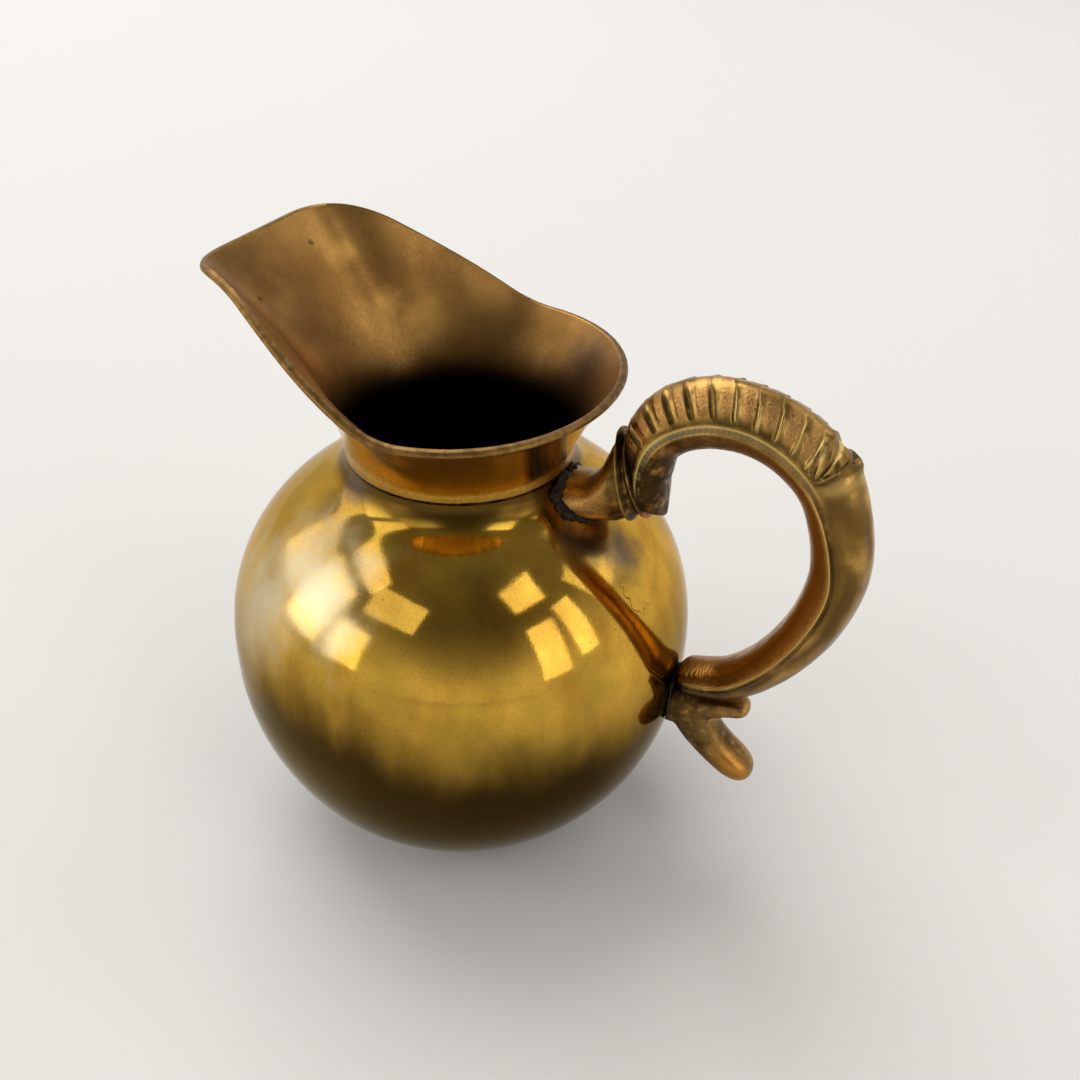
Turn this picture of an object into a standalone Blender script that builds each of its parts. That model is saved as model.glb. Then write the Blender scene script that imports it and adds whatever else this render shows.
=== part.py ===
"""Brass pitcher: a spun belly, a flared neck with an open spout, and a cast horn handle.

Frame: +Z is the turning axis, the handle points to +X and the spout to -X.
The origin is on the axis, on the underside of the base disc. Units are metres.
"""
import math

import bmesh
import bpy
from mathutils import Vector

# Belly, turned about the axis
BELLY_RADIUS = 0.0520        # outside, at the widest ring
BELLY_HEIGHT = 0.0484        # widest ring above the table
BASE_RADIUS = 0.0256         # outside, where the belly meets the table
UPPER_DEPTH = 0.0468         # half height of the fuller curve of the upper half
UPPER_POWER = 2.3            # how full that upper curve is; 2 is an ellipse
SWEEP_RADIUS = 0.0364        # radius where the shoulder starts to sweep up to the neck
BELLY_WALL = 0.0013
BASE_THICKNESS = 0.0012

# Neck, mouth and spout
NECK_RADIUS = 0.0241         # outside
SEAM_HEIGHT = 0.0945         # brazed seam between belly and neck
BRAZE_HEIGHT = 0.0006
BRAZE_BULGE = 0.0002         # how far the seam stands out of the neck
NECK_WALL = 0.0013
RIM_HEIGHT = 0.1123          # outer edge of the rim where it is level, on the handle side
LIP_HEIGHT = 0.1322          # outer edge at the end of the spout
RIM_BACK = 0.0332            # outer edge from the axis towards the handle
RIM_HALF_WIDTH = 0.0359
LIP_REACH = 0.0466           # end of the spout from the axis
LIP_HALF_WIDTH = 0.0244      # where the rounded corners of the spout begin
LIP_CORNER = 0.0088          # how far those corners reach back from the end
RISE_START = 0.0062          # where the rim starts to rise, on the handle's side of the axis

# Handle: stem and collar
STEM_REACH = 0.0145          # collar centre beyond the outside of the neck
STEM_WIDE = 0.0140
STEM_TALL = 0.0086
STEM_ROOT_WIDE = 0.0150
STEM_ROOT_TALL = 0.0094
STEM_ABOVE_SHOULDER = 0.0060     # root centre above the start of the sweep
COLLAR_ABOVE_SHOULDER = 0.0137   # its centre above the start of the sweep
COLLAR_TALL = 0.0180
COLLAR_WIDE = 0.0146
COLLAR_THICK = 0.0030        # at its middle
COLLAR_TILT = math.radians(17)
COLLAR_WEDGE = math.radians(8)   # angle between its faces, thicker below
COLLAR_HOLLOW = 0.0006       # depth of the hollow between its two rims
COLLAR_EDGE = 0.0005         # rounding of those rims

# Handle: horn
HORN_REACH = 0.0360          # how far the horn stands out from the line of its two ends
HORN_END_RISE = 0.0026       # horn's lower tip above the widest ring
HORN_WIDE = 0.0125           # across the beaded edges
HORN_OUTER = 0.0085          # from the line through the edges out to the ridge
HORN_INNER = 0.0052          # from that line in to the rounded inner side
RIB_COUNT = 10
RIB_PITCH = 0.0031
RIB_START = 0.0160           # first groove, measured along the horn from its curled tip
RIB_DEPTH = 0.0006
NOTCH_AFTER = 0.0088         # carved step beyond the last groove
NOTCH_DEPTH = 0.0013
NOTCH_HALF_WIDTH = 0.0016
BEAD_WIDTH = 0.0014          # beaded band along the widest edge
TIP_ROUNDING = 0.0050        # length over which each tip of the horn is rounded

# Handle: foot with its toe and spur
FOOT_DROP = 0.0056           # foot centre below the widest ring
FOOT_TALL = 0.0094
FOOT_WIDE = 0.0092
TOE_REACH = 0.0178           # tip of the toe beyond the foot's root
TOE_DROP = 0.0163            # tip of the toe below the foot's root
TOE_THICK = 0.0060
SPUR_REACH = 0.0152          # small rounded spur under the horn
SPUR_RISE = 0.0036
SPUR_WIDE = 0.0062
SPUR_THICK = 0.0031
TIP_OVERRUN = 0.0020         # end of a tongue's sweep, which its rounding takes back
FOOT_SAG = 0.0006            # how far the toe dips, and the spur lifts, just past the root

# Joints
GAP = 0.0003                 # clearance between neighbours
SOLDER = 0.0010              # thickness of the solder beds
SOLDER_EDGE = 0.0006         # how far the solder shows round a root

# Facets
TURN_STEPS = 60
RIM_HALF_STEPS = 38
OVAL_STEPS = 24

BRASS = (0.60, 0.42, 0.13, 1.0)
BRASS_DARK = (0.33, 0.22, 0.08, 1.0)
BRASS_CAST = (0.48, 0.32, 0.12, 1.0)
SOLDER_GREY = (0.20, 0.18, 0.15, 1.0)

SIDE = Vector((0.0, 1.0, 0.0))

# Horn, from the curled tip over the top to the lower tip: place across (share of
# HORN_REACH) and up (share of the height between the ends), then shares of HORN_OUTER,
# of HORN_INNER and of HORN_WIDE
HORN_STATIONS = (
    (0.13, 0.84, 0.14, 0.19, 0.48),
    (0.10, 0.94, 0.40, 0.54, 0.99),
    (0.11, 1.04, 0.66, 0.77, 1.04),
    (0.20, 1.18, 0.84, 0.83, 1.01),
    (0.36, 1.28, 0.99, 0.90, 0.99),
    (0.57, 1.34, 1.00, 1.00, 0.99),
    (0.78, 1.33, 0.96, 0.94, 0.99),
    (0.94, 1.25, 1.00, 0.81, 0.99),
    (1.04, 1.11, 0.95, 0.73, 0.98),
    (1.06, 0.89, 0.88, 0.81, 0.94),
    (1.00, 0.68, 0.78, 0.87, 0.93),
    (0.80, 0.43, 0.78, 0.73, 0.94),
    (0.54, 0.21, 0.74, 0.58, 0.96),
    (0.27, 0.06, 0.66, 0.42, 0.93),
    (0.00, 0.00, 0.35, 0.23, 0.67),
)


def clear_scene():
    for item in list(bpy.data.objects):
        bpy.data.objects.remove(item, do_unlink=True)


def collection(name):
    made = bpy.data.collections.new(name)
    bpy.context.scene.collection.children.link(made)
    return made


def metal(name, colour, roughness):
    made = bpy.data.materials.new(name)
    made.use_nodes = True
    shader = made.node_tree.nodes["Principled BSDF"]
    shader.inputs["Base Color"].default_value = colour
    shader.inputs["Metallic"].default_value = 1.0
    shader.inputs["Roughness"].default_value = roughness
    made.diffuse_color = colour
    return made


def place(name, mesh, home, material=None):
    """Make an object of a mesh in a collection."""
    made = bpy.data.objects.new(name, mesh)
    home.objects.link(made)
    if material:
        mesh.materials.append(material)
    return made


def smooth(item, angle=50):
    item.data.shade_smooth()
    item.data.set_sharp_from_angle(angle=math.radians(angle))


def turned(name, profile, home, material=None, closed=True):
    """Turn a profile of (radius, height) points about the axis."""
    points = [(radius, 0.0, height) for radius, height in profile]
    edges = [(i, i + 1) for i in range(len(points) - 1)]
    if closed:
        edges.append((len(points) - 1, 0))
    mesh = bpy.data.meshes.new(name)
    mesh.from_pydata(points, edges, [])
    made = place(name, mesh, home, material)
    screw = made.modifiers.new("turn", "SCREW")
    screw.steps = TURN_STEPS
    screw.render_steps = TURN_STEPS
    screw.use_merge_vertices = True
    screw.merge_threshold = 0.00001
    screw.use_smooth_shade = True
    return made


def loft(name, rings, home, material=None, capped=True):
    """Skin a row of rings that all have as many points, in order round the piece."""
    shape = bmesh.new()
    rows = [[shape.verts.new(point) for point in ring] for ring in rings]
    count = len(rings[0])
    for lower, upper in zip(rows, rows[1:]):
        for i in range(count):
            j = (i + 1) % count
            shape.faces.new((lower[i], lower[j], upper[j], upper[i]))
    if capped:
        shape.faces.new(reversed(rows[0]))
        shape.faces.new(rows[-1])
        bmesh.ops.recalc_face_normals(shape, faces=shape.faces)
    mesh = bpy.data.meshes.new(name)
    shape.to_mesh(mesh)
    shape.free()
    return place(name, mesh, home, material)


def combine(item, other, operation):
    boolean = item.modifiers.new(operation.lower(), "BOOLEAN")
    boolean.operation = operation
    boolean.solver = "EXACT"
    boolean.object = other


def as_guide(item):
    item.hide_render = True
    item.display_type = "WIRE"
    return item


def catmull(values, place_along):
    """Read a smooth row of tuples at a place counted in rows."""
    last = len(values) - 1
    i = min(int(place_along), last - 1)
    t = place_along - i
    before = values[max(i - 1, 0)]
    first, second = values[i], values[i + 1]
    after = values[min(i + 2, last)]
    result = []
    for a, b, c, d in zip(before, first, second, after):
        result.append(0.5 * (2 * b + (c - a) * t + (2 * a - 5 * b + 4 * c - d) * t * t
                             + (3 * b - a - 3 * c + d) * t ** 3))
    return result


def bezier(points, t):
    """Point of a Bezier curve through any number of control points."""
    points = [Vector(point) for point in points]
    while len(points) > 1:
        points = [a.lerp(b, t) for a, b in zip(points, points[1:])]
    return points[0]


def ease(t):
    """Smooth step from 0 to 1."""
    t = min(max(t, 0.0), 1.0)
    return t * t * (3.0 - 2.0 * t)


def round_off(distance, length, least):
    """Share of the full size, at a distance from a tip that is rounded over a length."""
    close = min(distance / length, 1.0)
    return max(math.sqrt(1.0 - (1.0 - close) ** 2), least)


def oval(centre, up, half_wide, half_tall, count=OVAL_STEPS, power=0.9, turn=0.0):
    """Ring of points across SIDE and up; a power under 1 squares it a little.

    turn is the share of a step by which the points are moved round the ring.
    """
    ring = []
    for i in range(count):
        angle = 2 * math.pi * (i + turn) / count
        c, s = math.cos(angle), math.sin(angle)
        wide = math.copysign(abs(c) ** power, c) * half_wide
        tall = math.copysign(abs(s) ** power, s) * half_tall
        ring.append(centre + SIDE * wide + up * tall)
    return ring


# Belly

def upper_height(radius):
    share = 1.0 - (radius / BELLY_RADIUS) ** 2
    return UPPER_DEPTH * max(share, 0.0) ** (1.0 / UPPER_POWER)


def shoulder_height():
    """Height where the sweep up to the neck starts."""
    return BELLY_HEIGHT + upper_height(SWEEP_RADIUS)


def belly_profile(steps_sweep=4, steps_up=6, steps_down=9):
    """Outside of the belly from the neck seam down to the table."""
    knee_share = 0.62        # how far down the sweep its two tangents meet
    step = SWEEP_RADIUS / 400
    sweep_top = (NECK_RADIUS, SEAM_HEIGHT - GAP)
    sweep_start = (SWEEP_RADIUS, shoulder_height())
    slope = (upper_height(SWEEP_RADIUS) - upper_height(SWEEP_RADIUS + step)) / step
    run = knee_share * (SWEEP_RADIUS - NECK_RADIUS)
    knee = (SWEEP_RADIUS - run, sweep_start[1] + run * slope)
    points = [tuple(bezier([sweep_top, knee, sweep_start], i / steps_sweep))
              for i in range(steps_sweep)]
    shoulder = math.acos(SWEEP_RADIUS / BELLY_RADIUS)
    for i in range(steps_up):
        radius = BELLY_RADIUS * math.cos(shoulder * (1.0 - i / steps_up))
        points.append((radius, BELLY_HEIGHT + upper_height(radius)))
    lowest = math.acos(BASE_RADIUS / BELLY_RADIUS)
    lower_depth = BELLY_HEIGHT / math.sin(lowest)
    for i in range(steps_down + 1):
        angle = lowest * i / steps_down
        points.append((BELLY_RADIUS * math.cos(angle),
                       BELLY_HEIGHT - lower_depth * math.sin(angle)))
    return points


def offset_profile(points, distance):
    """Move a profile that runs down its outer side outwards by a distance."""
    moved = []
    for i, (radius, height) in enumerate(points):
        before = points[max(i - 1, 0)]
        after = points[min(i + 1, len(points) - 1)]
        along = Vector((after[0] - before[0], after[1] - before[1])).normalized()
        moved.append((radius - along.y * distance, height + along.x * distance))
    return moved


def belly_shell(home, material):
    """Turned shell, open at the neck and at the base, with a straight seat for the disc."""
    outer = belly_profile()
    outer[-1] = (BASE_RADIUS, 0.0)
    seat = BASE_RADIUS - BELLY_WALL
    seat_top = BASE_THICKNESS + BELLY_WALL
    inner = offset_profile(belly_profile(3, 4, 6), -BELLY_WALL)
    inner[0] = (NECK_RADIUS - BELLY_WALL, SEAM_HEIGHT - GAP)
    inner = [point for point in inner[:-1] if point[1] > seat_top]
    inner += [(seat, seat_top), (seat, 0.0)]
    return turned("belly_shell", outer + inner[::-1], home, material)


def base_disc(home, material):
    bpy.ops.mesh.primitive_cylinder_add(
        vertices=TURN_STEPS, radius=BASE_RADIUS - BELLY_WALL - GAP, depth=BASE_THICKNESS,
        location=(0.0, 0.0, BASE_THICKNESS / 2))
    made = bpy.context.object
    made.name = "base_disc"
    made.data.materials.append(material)
    for used in list(made.users_collection):
        used.objects.unlink(made)
    home.objects.link(made)
    smooth(made)
    return made


# Neck, mouth and spout

def neck_braze(home, material):
    low, high = SEAM_HEIGHT, SEAM_HEIGHT + BRAZE_HEIGHT
    inner = NECK_RADIUS - BELLY_WALL
    profile = [(NECK_RADIUS, high), (NECK_RADIUS + BRAZE_BULGE, (low + high) / 2),
               (NECK_RADIUS, low), (inner, low), (inner, high)]
    return turned("neck_braze", profile, home, material)


def rim_curves():
    """Half of the rim seen from above: round the handle side, along, corner, end."""
    taper = 0.42             # how steeply the spout's sides draw in at its corners
    fullness = 0.58          # how square the round part is; 0.55 is an ellipse
    corner_run = 0.70 * LIP_CORNER
    side_start = (0.0, RIM_HALF_WIDTH)
    corner = (LIP_CORNER - LIP_REACH, LIP_HALF_WIDTH)
    end = (-LIP_REACH, 0.42 * LIP_HALF_WIDTH)
    back = [(RIM_BACK, 0.0), (RIM_BACK, RIM_HALF_WIDTH * fullness),
            (RIM_BACK * fullness, RIM_HALF_WIDTH), side_start]
    along = [side_start, (corner[0] * 0.36, RIM_HALF_WIDTH),
             (corner[0] * 0.66, LIP_HALF_WIDTH - corner[0] * 0.34 * taper), corner]
    turn = [corner, (corner[0] - corner_run, corner[1] - corner_run * taper),
            (-LIP_REACH, 0.78 * LIP_HALF_WIDTH), end]
    return back, along, turn, [end, (-LIP_REACH, 0.0)]


def rim_plan(steps, fine_steps=60):
    """Points at even spaces along that half, from the handle side to the spout's end."""
    fine = [bezier(curve, i / fine_steps) for curve in rim_curves() for i in range(fine_steps)]
    fine.append(Vector((-LIP_REACH, 0.0)))
    lengths = [0.0]
    for a, b in zip(fine, fine[1:]):
        lengths.append(lengths[-1] + (b - a).length)
    plan = []
    j = 0
    for i in range(steps + 1):
        wanted = lengths[-1] * i / steps
        while j < len(fine) - 2 and lengths[j + 1] < wanted:
            j += 1
        share = (wanted - lengths[j]) / (lengths[j + 1] - lengths[j])
        plan.append(tuple(fine[j].lerp(fine[j + 1], share)))
    return plan


def rim_rise(x):
    """Height of the rim over a place along the spout: level, a straight ramp, level."""
    finish = LIP_CORNER / 2 - LIP_REACH
    bend = 0.25              # share of the ramp that each of its two bends takes
    t = min(max((RISE_START - x) / (RISE_START - finish), 0.0), 1.0)
    if t < bend:
        share = t * t / (2 * bend * (1 - bend))
    elif t > 1 - bend:
        share = 1 - (1 - t) ** 2 / (2 * bend * (1 - bend))
    else:
        share = (t - bend / 2) / (1 - bend)
    return RIM_HEIGHT + (LIP_HEIGHT - RIM_HEIGHT) * share


def mouth_rings(rows=11):
    """Rings of the outside, from the neck's lower edge up to the rim."""
    straight_back, straight_spout = 0.10, 0.04   # share of the height before the flare
    power_back, power_spout = 1.35, 1.50         # how late the flare opens
    bottom = SEAM_HEIGHT + BRAZE_HEIGHT + GAP
    plan = rim_plan(RIM_HALF_STEPS)
    plan += [(x, -y) for x, y in plan[-2:0:-1]]
    rings = []
    for row in range(rows + 1):
        up = row / rows
        ring = []
        for i, (x, y) in enumerate(plan):
            angle = 2 * math.pi * i / len(plan)
            toward_spout = (1 - math.cos(angle)) / 2
            straight = straight_back + (straight_spout - straight_back) * toward_spout
            power = power_back + (power_spout - power_back) * toward_spout
            flare = (max(up - straight, 0.0) / (1 - straight)) ** power
            neck_x, neck_y = NECK_RADIUS * math.cos(angle), NECK_RADIUS * math.sin(angle)
            ring.append((neck_x + (x - neck_x) * flare, neck_y + (y - neck_y) * flare,
                         bottom + (rim_rise(x) - bottom) * up))
        rings.append(ring)
    return rings


def neck_spout(home, material):
    made = loft("neck_spout", mouth_rings(), home, material, capped=False)
    wall = made.modifiers.new("wall", "SOLIDIFY")
    wall.thickness = NECK_WALL
    wall.offset = -1.0
    wall.use_even_offset = True
    made.data.shade_smooth()
    return made


# Solids that clear the pitcher's wall, for cutting what is soldered to it

def wall_guide(name, distance, home):
    """Solid of the belly, the neck and its seam, grown by a distance."""
    neck = NECK_RADIUS + BRAZE_BULGE + distance
    belly = [point for point in offset_profile(belly_profile(), distance) if point[0] > neck]
    profile = [(0.0, LIP_HEIGHT), (neck, LIP_HEIGHT)] + belly + [(0.0, belly[-1][1])]
    return as_guide(turned(name, profile, home, closed=False))


def solder_bed(name, root, half_wide, half_tall, reach, home, guides, material):
    """Bed of solder between the pitcher's wall and what is set on it."""
    depth = Vector((reach, 0.0, 0.0))
    up = Vector((0.0, 0.0, 1.0))
    half_wide += SOLDER_EDGE
    half_tall += SOLDER_EDGE
    rings = [oval(root + along, up, half_wide, half_tall, turn=0.5) for along in (-depth, depth)]
    made = loft(name, rings, home, material)
    combine(made, guides["solder"], "INTERSECT")
    combine(made, guides["wall"], "DIFFERENCE")
    smooth(made)
    return made


# Collar and stem

def collar_frame(share):
    """Centre of the collar at a share of its thickness, its normal and its long direction."""
    middle = Vector((NECK_RADIUS + STEM_REACH, 0.0, shoulder_height() + COLLAR_ABOVE_SHOULDER))
    along = Vector((math.cos(COLLAR_TILT), 0.0, math.sin(COLLAR_TILT)))
    tilt = COLLAR_TILT + COLLAR_WEDGE * (share - 0.5)
    normal = Vector((math.cos(tilt), 0.0, math.sin(tilt)))
    up = Vector((-math.sin(tilt), 0.0, math.cos(tilt)))
    return middle + along * COLLAR_THICK * (share - 0.5), normal, up


def handle_collar(home, material):
    rings = []
    for share, shrink in ((0.0, COLLAR_EDGE), (0.14, 0.0), (0.30, 0.0), (0.55, COLLAR_HOLLOW),
                          (0.84, COLLAR_EDGE / 2), (1.0, COLLAR_EDGE)):
        centre, normal, up = collar_frame(share)
        rings.append(oval(centre, up, COLLAR_WIDE / 2 - shrink, COLLAR_TALL / 2 - shrink, 32))
    made = loft("handle_collar", rings, home, material)
    smooth(made)
    return made


def collar_guide(home):
    """Block that takes all of the horn that lies behind the collar's front face."""
    centre, normal, up = collar_frame(1.0)
    rings = [oval(centre + normal * along, up, COLLAR_WIDE, COLLAR_TALL / 2 + COLLAR_THICK, power=0.4)
             for along in (GAP - COLLAR_TALL, GAP)]
    return as_guide(loft("collar_clearance", rings, home))


def stem_root():
    """Centre of the stem's root, beside the neck."""
    return Vector((NECK_RADIUS, 0.0, shoulder_height() + STEM_ABOVE_SHOULDER))


def stem_rings(rows=9):
    """Ovals from the shoulder to the collar: level at first, then spread to the collar."""
    level_share = 0.55       # share of the reach that runs level out of the shoulder
    rising = Vector((1.0, 0.0, 1.0)).normalized()
    root_end = 0.55          # where along the stem its root's size has gone
    spread_start, spread_end = 0.15, 0.85
    centre, normal, up = collar_frame(0.0)
    finish = centre - normal * GAP
    start = stem_root()
    reach = (finish - start).length
    bend = [start, start + Vector((level_share * reach, 0.0, 0.0)), finish - rising * 0.3 * reach, finish]
    inside = start - Vector((STEM_WIDE / 4, 0.0, 0.0))
    rings = []
    for row in range(-1, rows + 1):
        t = max(row / rows, 0.0)
        middle = bezier(bend, t) if row >= 0 else inside
        root_part = max(1 - t / root_end, 0.0) ** 2
        spread = ease((t - spread_start) / (spread_end - spread_start))
        wide = STEM_WIDE + (STEM_ROOT_WIDE - STEM_WIDE) * root_part
        wide += (COLLAR_WIDE - 2 * COLLAR_EDGE - wide) * spread
        tall = STEM_TALL + (STEM_ROOT_TALL - STEM_TALL) * root_part
        tall += (COLLAR_TALL - 2 * COLLAR_EDGE - tall) * spread
        lean = Vector((0.0, 0.0, 1.0)).lerp(up, ease(t)).normalized()
        rings.append(oval(middle, lean, wide / 2, tall / 2))
    return rings


def handle_stem(home, guides, material):
    made = loft("handle_stem", stem_rings(), home, material)
    combine(made, guides["bedded"], "DIFFERENCE")
    smooth(made)
    return made


def stem_solder(home, guides, material):
    slope_reach = 1.25 * STEM_ROOT_TALL      # past the slope of the shoulder, above and below
    return solder_bed("stem_solder", stem_root(), STEM_ROOT_WIDE / 2, STEM_ROOT_TALL / 2,
                      slope_reach, home, guides, material)


# Horn

def horn_ends():
    """Line that the horn's places are measured from: lower tip, then collar centre."""
    low = (BELLY_RADIUS + SOLDER + 2 * GAP, BELLY_HEIGHT + HORN_END_RISE)
    high = (NECK_RADIUS + STEM_REACH, shoulder_height() + COLLAR_ABOVE_SHOULDER)
    return low, high


def horn_station(row):
    across, rise, out_share, inner_share, wide_share = catmull(HORN_STATIONS, row)
    low, high = horn_ends()
    x = low[0] + (high[0] - low[0]) * rise + HORN_REACH * across
    z = low[1] + (high[1] - low[1]) * rise
    return x, z, HORN_OUTER * out_share, HORN_INNER * inner_share, HORN_WIDE / 2 * wide_share


def horn_spine(fine=400):
    """Places along the horn with their distance from the curled tip."""
    last = len(HORN_STATIONS) - 1
    rows = [last * i / fine for i in range(fine + 1)]
    spots = [horn_station(row) for row in rows]
    run = [0.0]
    for a, b in zip(spots, spots[1:]):
        run.append(run[-1] + math.hypot(b[0] - a[0], b[1] - a[1]))
    return rows, run


def horn_section(out, inner, half, groove):
    """Half of the section, from the inner crown round the edge to the outer ridge.

    Each point is (distance outwards, distance sideways). A groove sinks the outer
    side between the beaded edge and the ridge.
    """
    bead = min(BEAD_WIDTH, out * 0.4)
    side = out - bead
    return [(-inner, 0.0), (-inner * 0.93, half * 0.36), (-inner * 0.66, half * 0.70),
            (-inner * 0.16, half * 0.97), (bead * 0.3, half), (bead, half * 0.97),
            (bead + side * 0.30, half * 0.86 - groove),
            (bead + side * 0.72 - groove * 0.5, half * 0.60 - groove * 0.9),
            (out * 0.95 - groove * 0.7, half * 0.26),
            (out - groove * 0.6, 0.0)]


def horn_stops(length, grooves, notch):
    """Distances of the sections from the curled tip, close where the surface turns."""
    tip_shares = (0.0, 0.03, 0.14, 0.34, 0.62, 1.0)
    rib_shares = (-0.42, -0.12, 0.12, 0.42)
    plain = 16
    stops = [TIP_ROUNDING * share for share in tip_shares]
    approach = grooves[0] + rib_shares[0] * RIB_PITCH - stops[-1]
    stops += [stops[-1] + approach * share for share in (0.33, 0.67)]
    stops += [spot + share * RIB_PITCH for spot in grooves for share in rib_shares]
    stops += [(stops[-1] + notch - NOTCH_HALF_WIDTH) / 2]
    stops += [notch + NOTCH_HALF_WIDTH * share for share in (-1.0, 0.0, 1.0)]
    rest = length - TIP_ROUNDING - stops[-1]
    stops += [stops[-1] + rest * i / plain for i in range(1, plain + 1)]
    return stops + [length - TIP_ROUNDING * share for share in tip_shares[-2::-1]]


def horn_rings(grow=0.0):
    rows, run = horn_spine()
    length = run[-1]
    grooves = [RIB_START + RIB_PITCH * i for i in range(RIB_COUNT)]
    notch = grooves[-1] + NOTCH_AFTER
    look = 0.05              # rows to each side for the direction of the spine
    rings = []
    for stop in horn_stops(length, grooves, notch):
        i = min(max(j for j in range(len(run)) if run[j] <= stop), len(run) - 2)
        share = (stop - run[i]) / (run[i + 1] - run[i])
        row = rows[i] + (rows[i + 1] - rows[i]) * share
        x, z, out, inner, half = horn_station(row)
        ahead = horn_station(min(row + look, rows[-1]))
        behind = horn_station(max(row - look, 0.0))
        along = Vector((ahead[0] - behind[0], 0.0, ahead[1] - behind[1])).normalized()
        outward = Vector((-along.z, 0.0, along.x))
        groove = NOTCH_DEPTH * max(1 - abs(stop - notch) / NOTCH_HALF_WIDTH, 0.0)
        for spot in grooves:
            groove = max(groove, RIB_DEPTH * (1 - abs(stop - spot) / (0.34 * RIB_PITCH)))
        taper = round_off(min(stop, length - stop), TIP_ROUNDING, 0.10)
        middle = Vector((x, 0.0, z))
        section = horn_section(out * taper + grow, inner * taper + grow, half * taper + grow, groove)
        ring = [middle + outward * n + SIDE * s for n, s in section]
        ring += [middle + outward * n - SIDE * s for n, s in section[-2:0:-1]]
        rings.append(ring)
    return rings


def horn(home, guides, material):
    made = loft("horn", horn_rings(), home, material)
    combine(made, guides["bedded"], "DIFFERENCE")
    combine(made, guides["collar"], "DIFFERENCE")
    smooth(made, 40)
    return made


# Foot with its toe and spur

def foot_root():
    return Vector((BELLY_RADIUS, 0.0, BELLY_HEIGHT - FOOT_DROP))


def tongue(name, spots, widths, talls, tip, rows, home, material=None):
    """Tongue through a few spots in the handle's plane, with a rounded tip.

    Widths and thicknesses are given at the same spots, and tip is the share of the
    length over which the end is rounded.
    """
    last = len(spots) - 1
    shares = [i / rows for i in range(rows + 1)]
    path = [Vector(catmull(spots, last * t)) for t in shares]
    rings = []
    for i, t in enumerate(shares):
        ahead = (path[min(i + 1, rows)] - path[max(i - 1, 0)]).normalized()
        up = Vector((-ahead.z, 0.0, ahead.x))
        closed = round_off(1 - t, tip, 0.12)
        wide = catmull([(value,) for value in widths], last * t)[0] * closed
        tall = catmull([(value,) for value in talls], last * t)[0] * closed
        rings.append(oval(path[i], up, wide / 2, tall / 2, 20))
    return loft(name, rings, home, material)


def toe(home, material):
    """Foot and toe in one sweep, from inside the wall down to the toe's tip."""
    root = foot_root()
    spots = [root - Vector((FOOT_TALL / 3, 0.0, 0.0)),
             root + Vector((FOOT_TALL * 0.43, 0.0, -FOOT_SAG)),
             root + Vector((TOE_REACH * 0.40, 0.0, -TOE_DROP * 0.39)),
             root + Vector((TOE_REACH * 0.70, 0.0, -TOE_DROP * 0.71)),
             root + Vector((TOE_REACH + TIP_OVERRUN, 0.0, -TOE_DROP))]
    widths = (FOOT_WIDE, FOOT_WIDE, FOOT_WIDE * 0.96, FOOT_WIDE, FOOT_WIDE)
    talls = (FOOT_TALL, FOOT_TALL * 0.98, TOE_THICK * 1.25, TOE_THICK, TOE_THICK * 0.92)
    return tongue("handle_foot", spots, widths, talls, 0.20, 14, home, material)


def spur(home):
    root = foot_root()
    spots = [root + Vector((FOOT_TALL / 3, 0.0, FOOT_SAG)),
             root + Vector((SPUR_REACH * 0.55, 0.0, FOOT_SAG * 2)),
             root + Vector((SPUR_REACH * 0.85, 0.0, SPUR_RISE * 0.8)),
             root + Vector((SPUR_REACH + TIP_OVERRUN, 0.0, SPUR_RISE))]
    widths = (SPUR_WIDE * 1.3, SPUR_WIDE, SPUR_WIDE, SPUR_WIDE)
    talls = (SPUR_THICK * 1.5, SPUR_THICK, SPUR_THICK, SPUR_THICK)
    return as_guide(tongue("foot_spur", spots, widths, talls, 0.20, 9, home))


def handle_foot(home, guides, material):
    made = toe(home, material)
    combine(made, guides["spur"], "UNION")
    combine(made, guides["horn"], "DIFFERENCE")
    combine(made, guides["bedded"], "DIFFERENCE")
    smooth(made)
    return made


def foot_solder(home, guides, material):
    """Bed that reaches from under the foot up to the horn's lower tip."""
    top = BELLY_HEIGHT + HORN_END_RISE
    bottom = foot_root().z - FOOT_TALL / 2
    middle = Vector((BELLY_RADIUS, 0.0, (top + bottom) / 2))
    return solder_bed("foot_solder", middle, FOOT_WIDE / 2, (top - bottom) / 2, FOOT_WIDE / 2,
                      home, guides, material)


def main():
    clear_scene()
    parts = collection("brass_pitcher")
    guide_home = collection("guides")
    polished = metal("polished brass", BRASS, 0.18)
    satin = metal("satin brass", BRASS_CAST, 0.32)
    cast = metal("cast brass", BRASS_DARK, 0.38)
    grey = metal("solder", SOLDER_GREY, 0.6)

    guides = {
        "wall": wall_guide("wall_clearance", GAP, guide_home),
        "solder": wall_guide("solder_outside", GAP + SOLDER, guide_home),
        "bedded": wall_guide("bedded_clearance", 2 * GAP + SOLDER, guide_home),
        "collar": collar_guide(guide_home),
        "horn": as_guide(loft("horn_clearance", horn_rings(GAP), guide_home)),
        "spur": spur(guide_home),
    }
    belly_shell(parts, polished)
    base_disc(parts, polished)
    neck_braze(parts, satin)
    neck_spout(parts, satin)
    handle_stem(parts, guides, cast)
    stem_solder(parts, guides, grey)
    handle_collar(parts, cast)
    horn(parts, guides, cast)
    handle_foot(parts, guides, cast)
    foot_solder(parts, guides, grey)


main()
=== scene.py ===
import math

import bmesh
import bpy
import numpy as np
from bpy.props import FloatProperty, FloatVectorProperty, IntProperty, PointerProperty
from bpy.types import Operator, Panel, PropertyGroup
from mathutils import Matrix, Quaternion, Vector, noise


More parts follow.
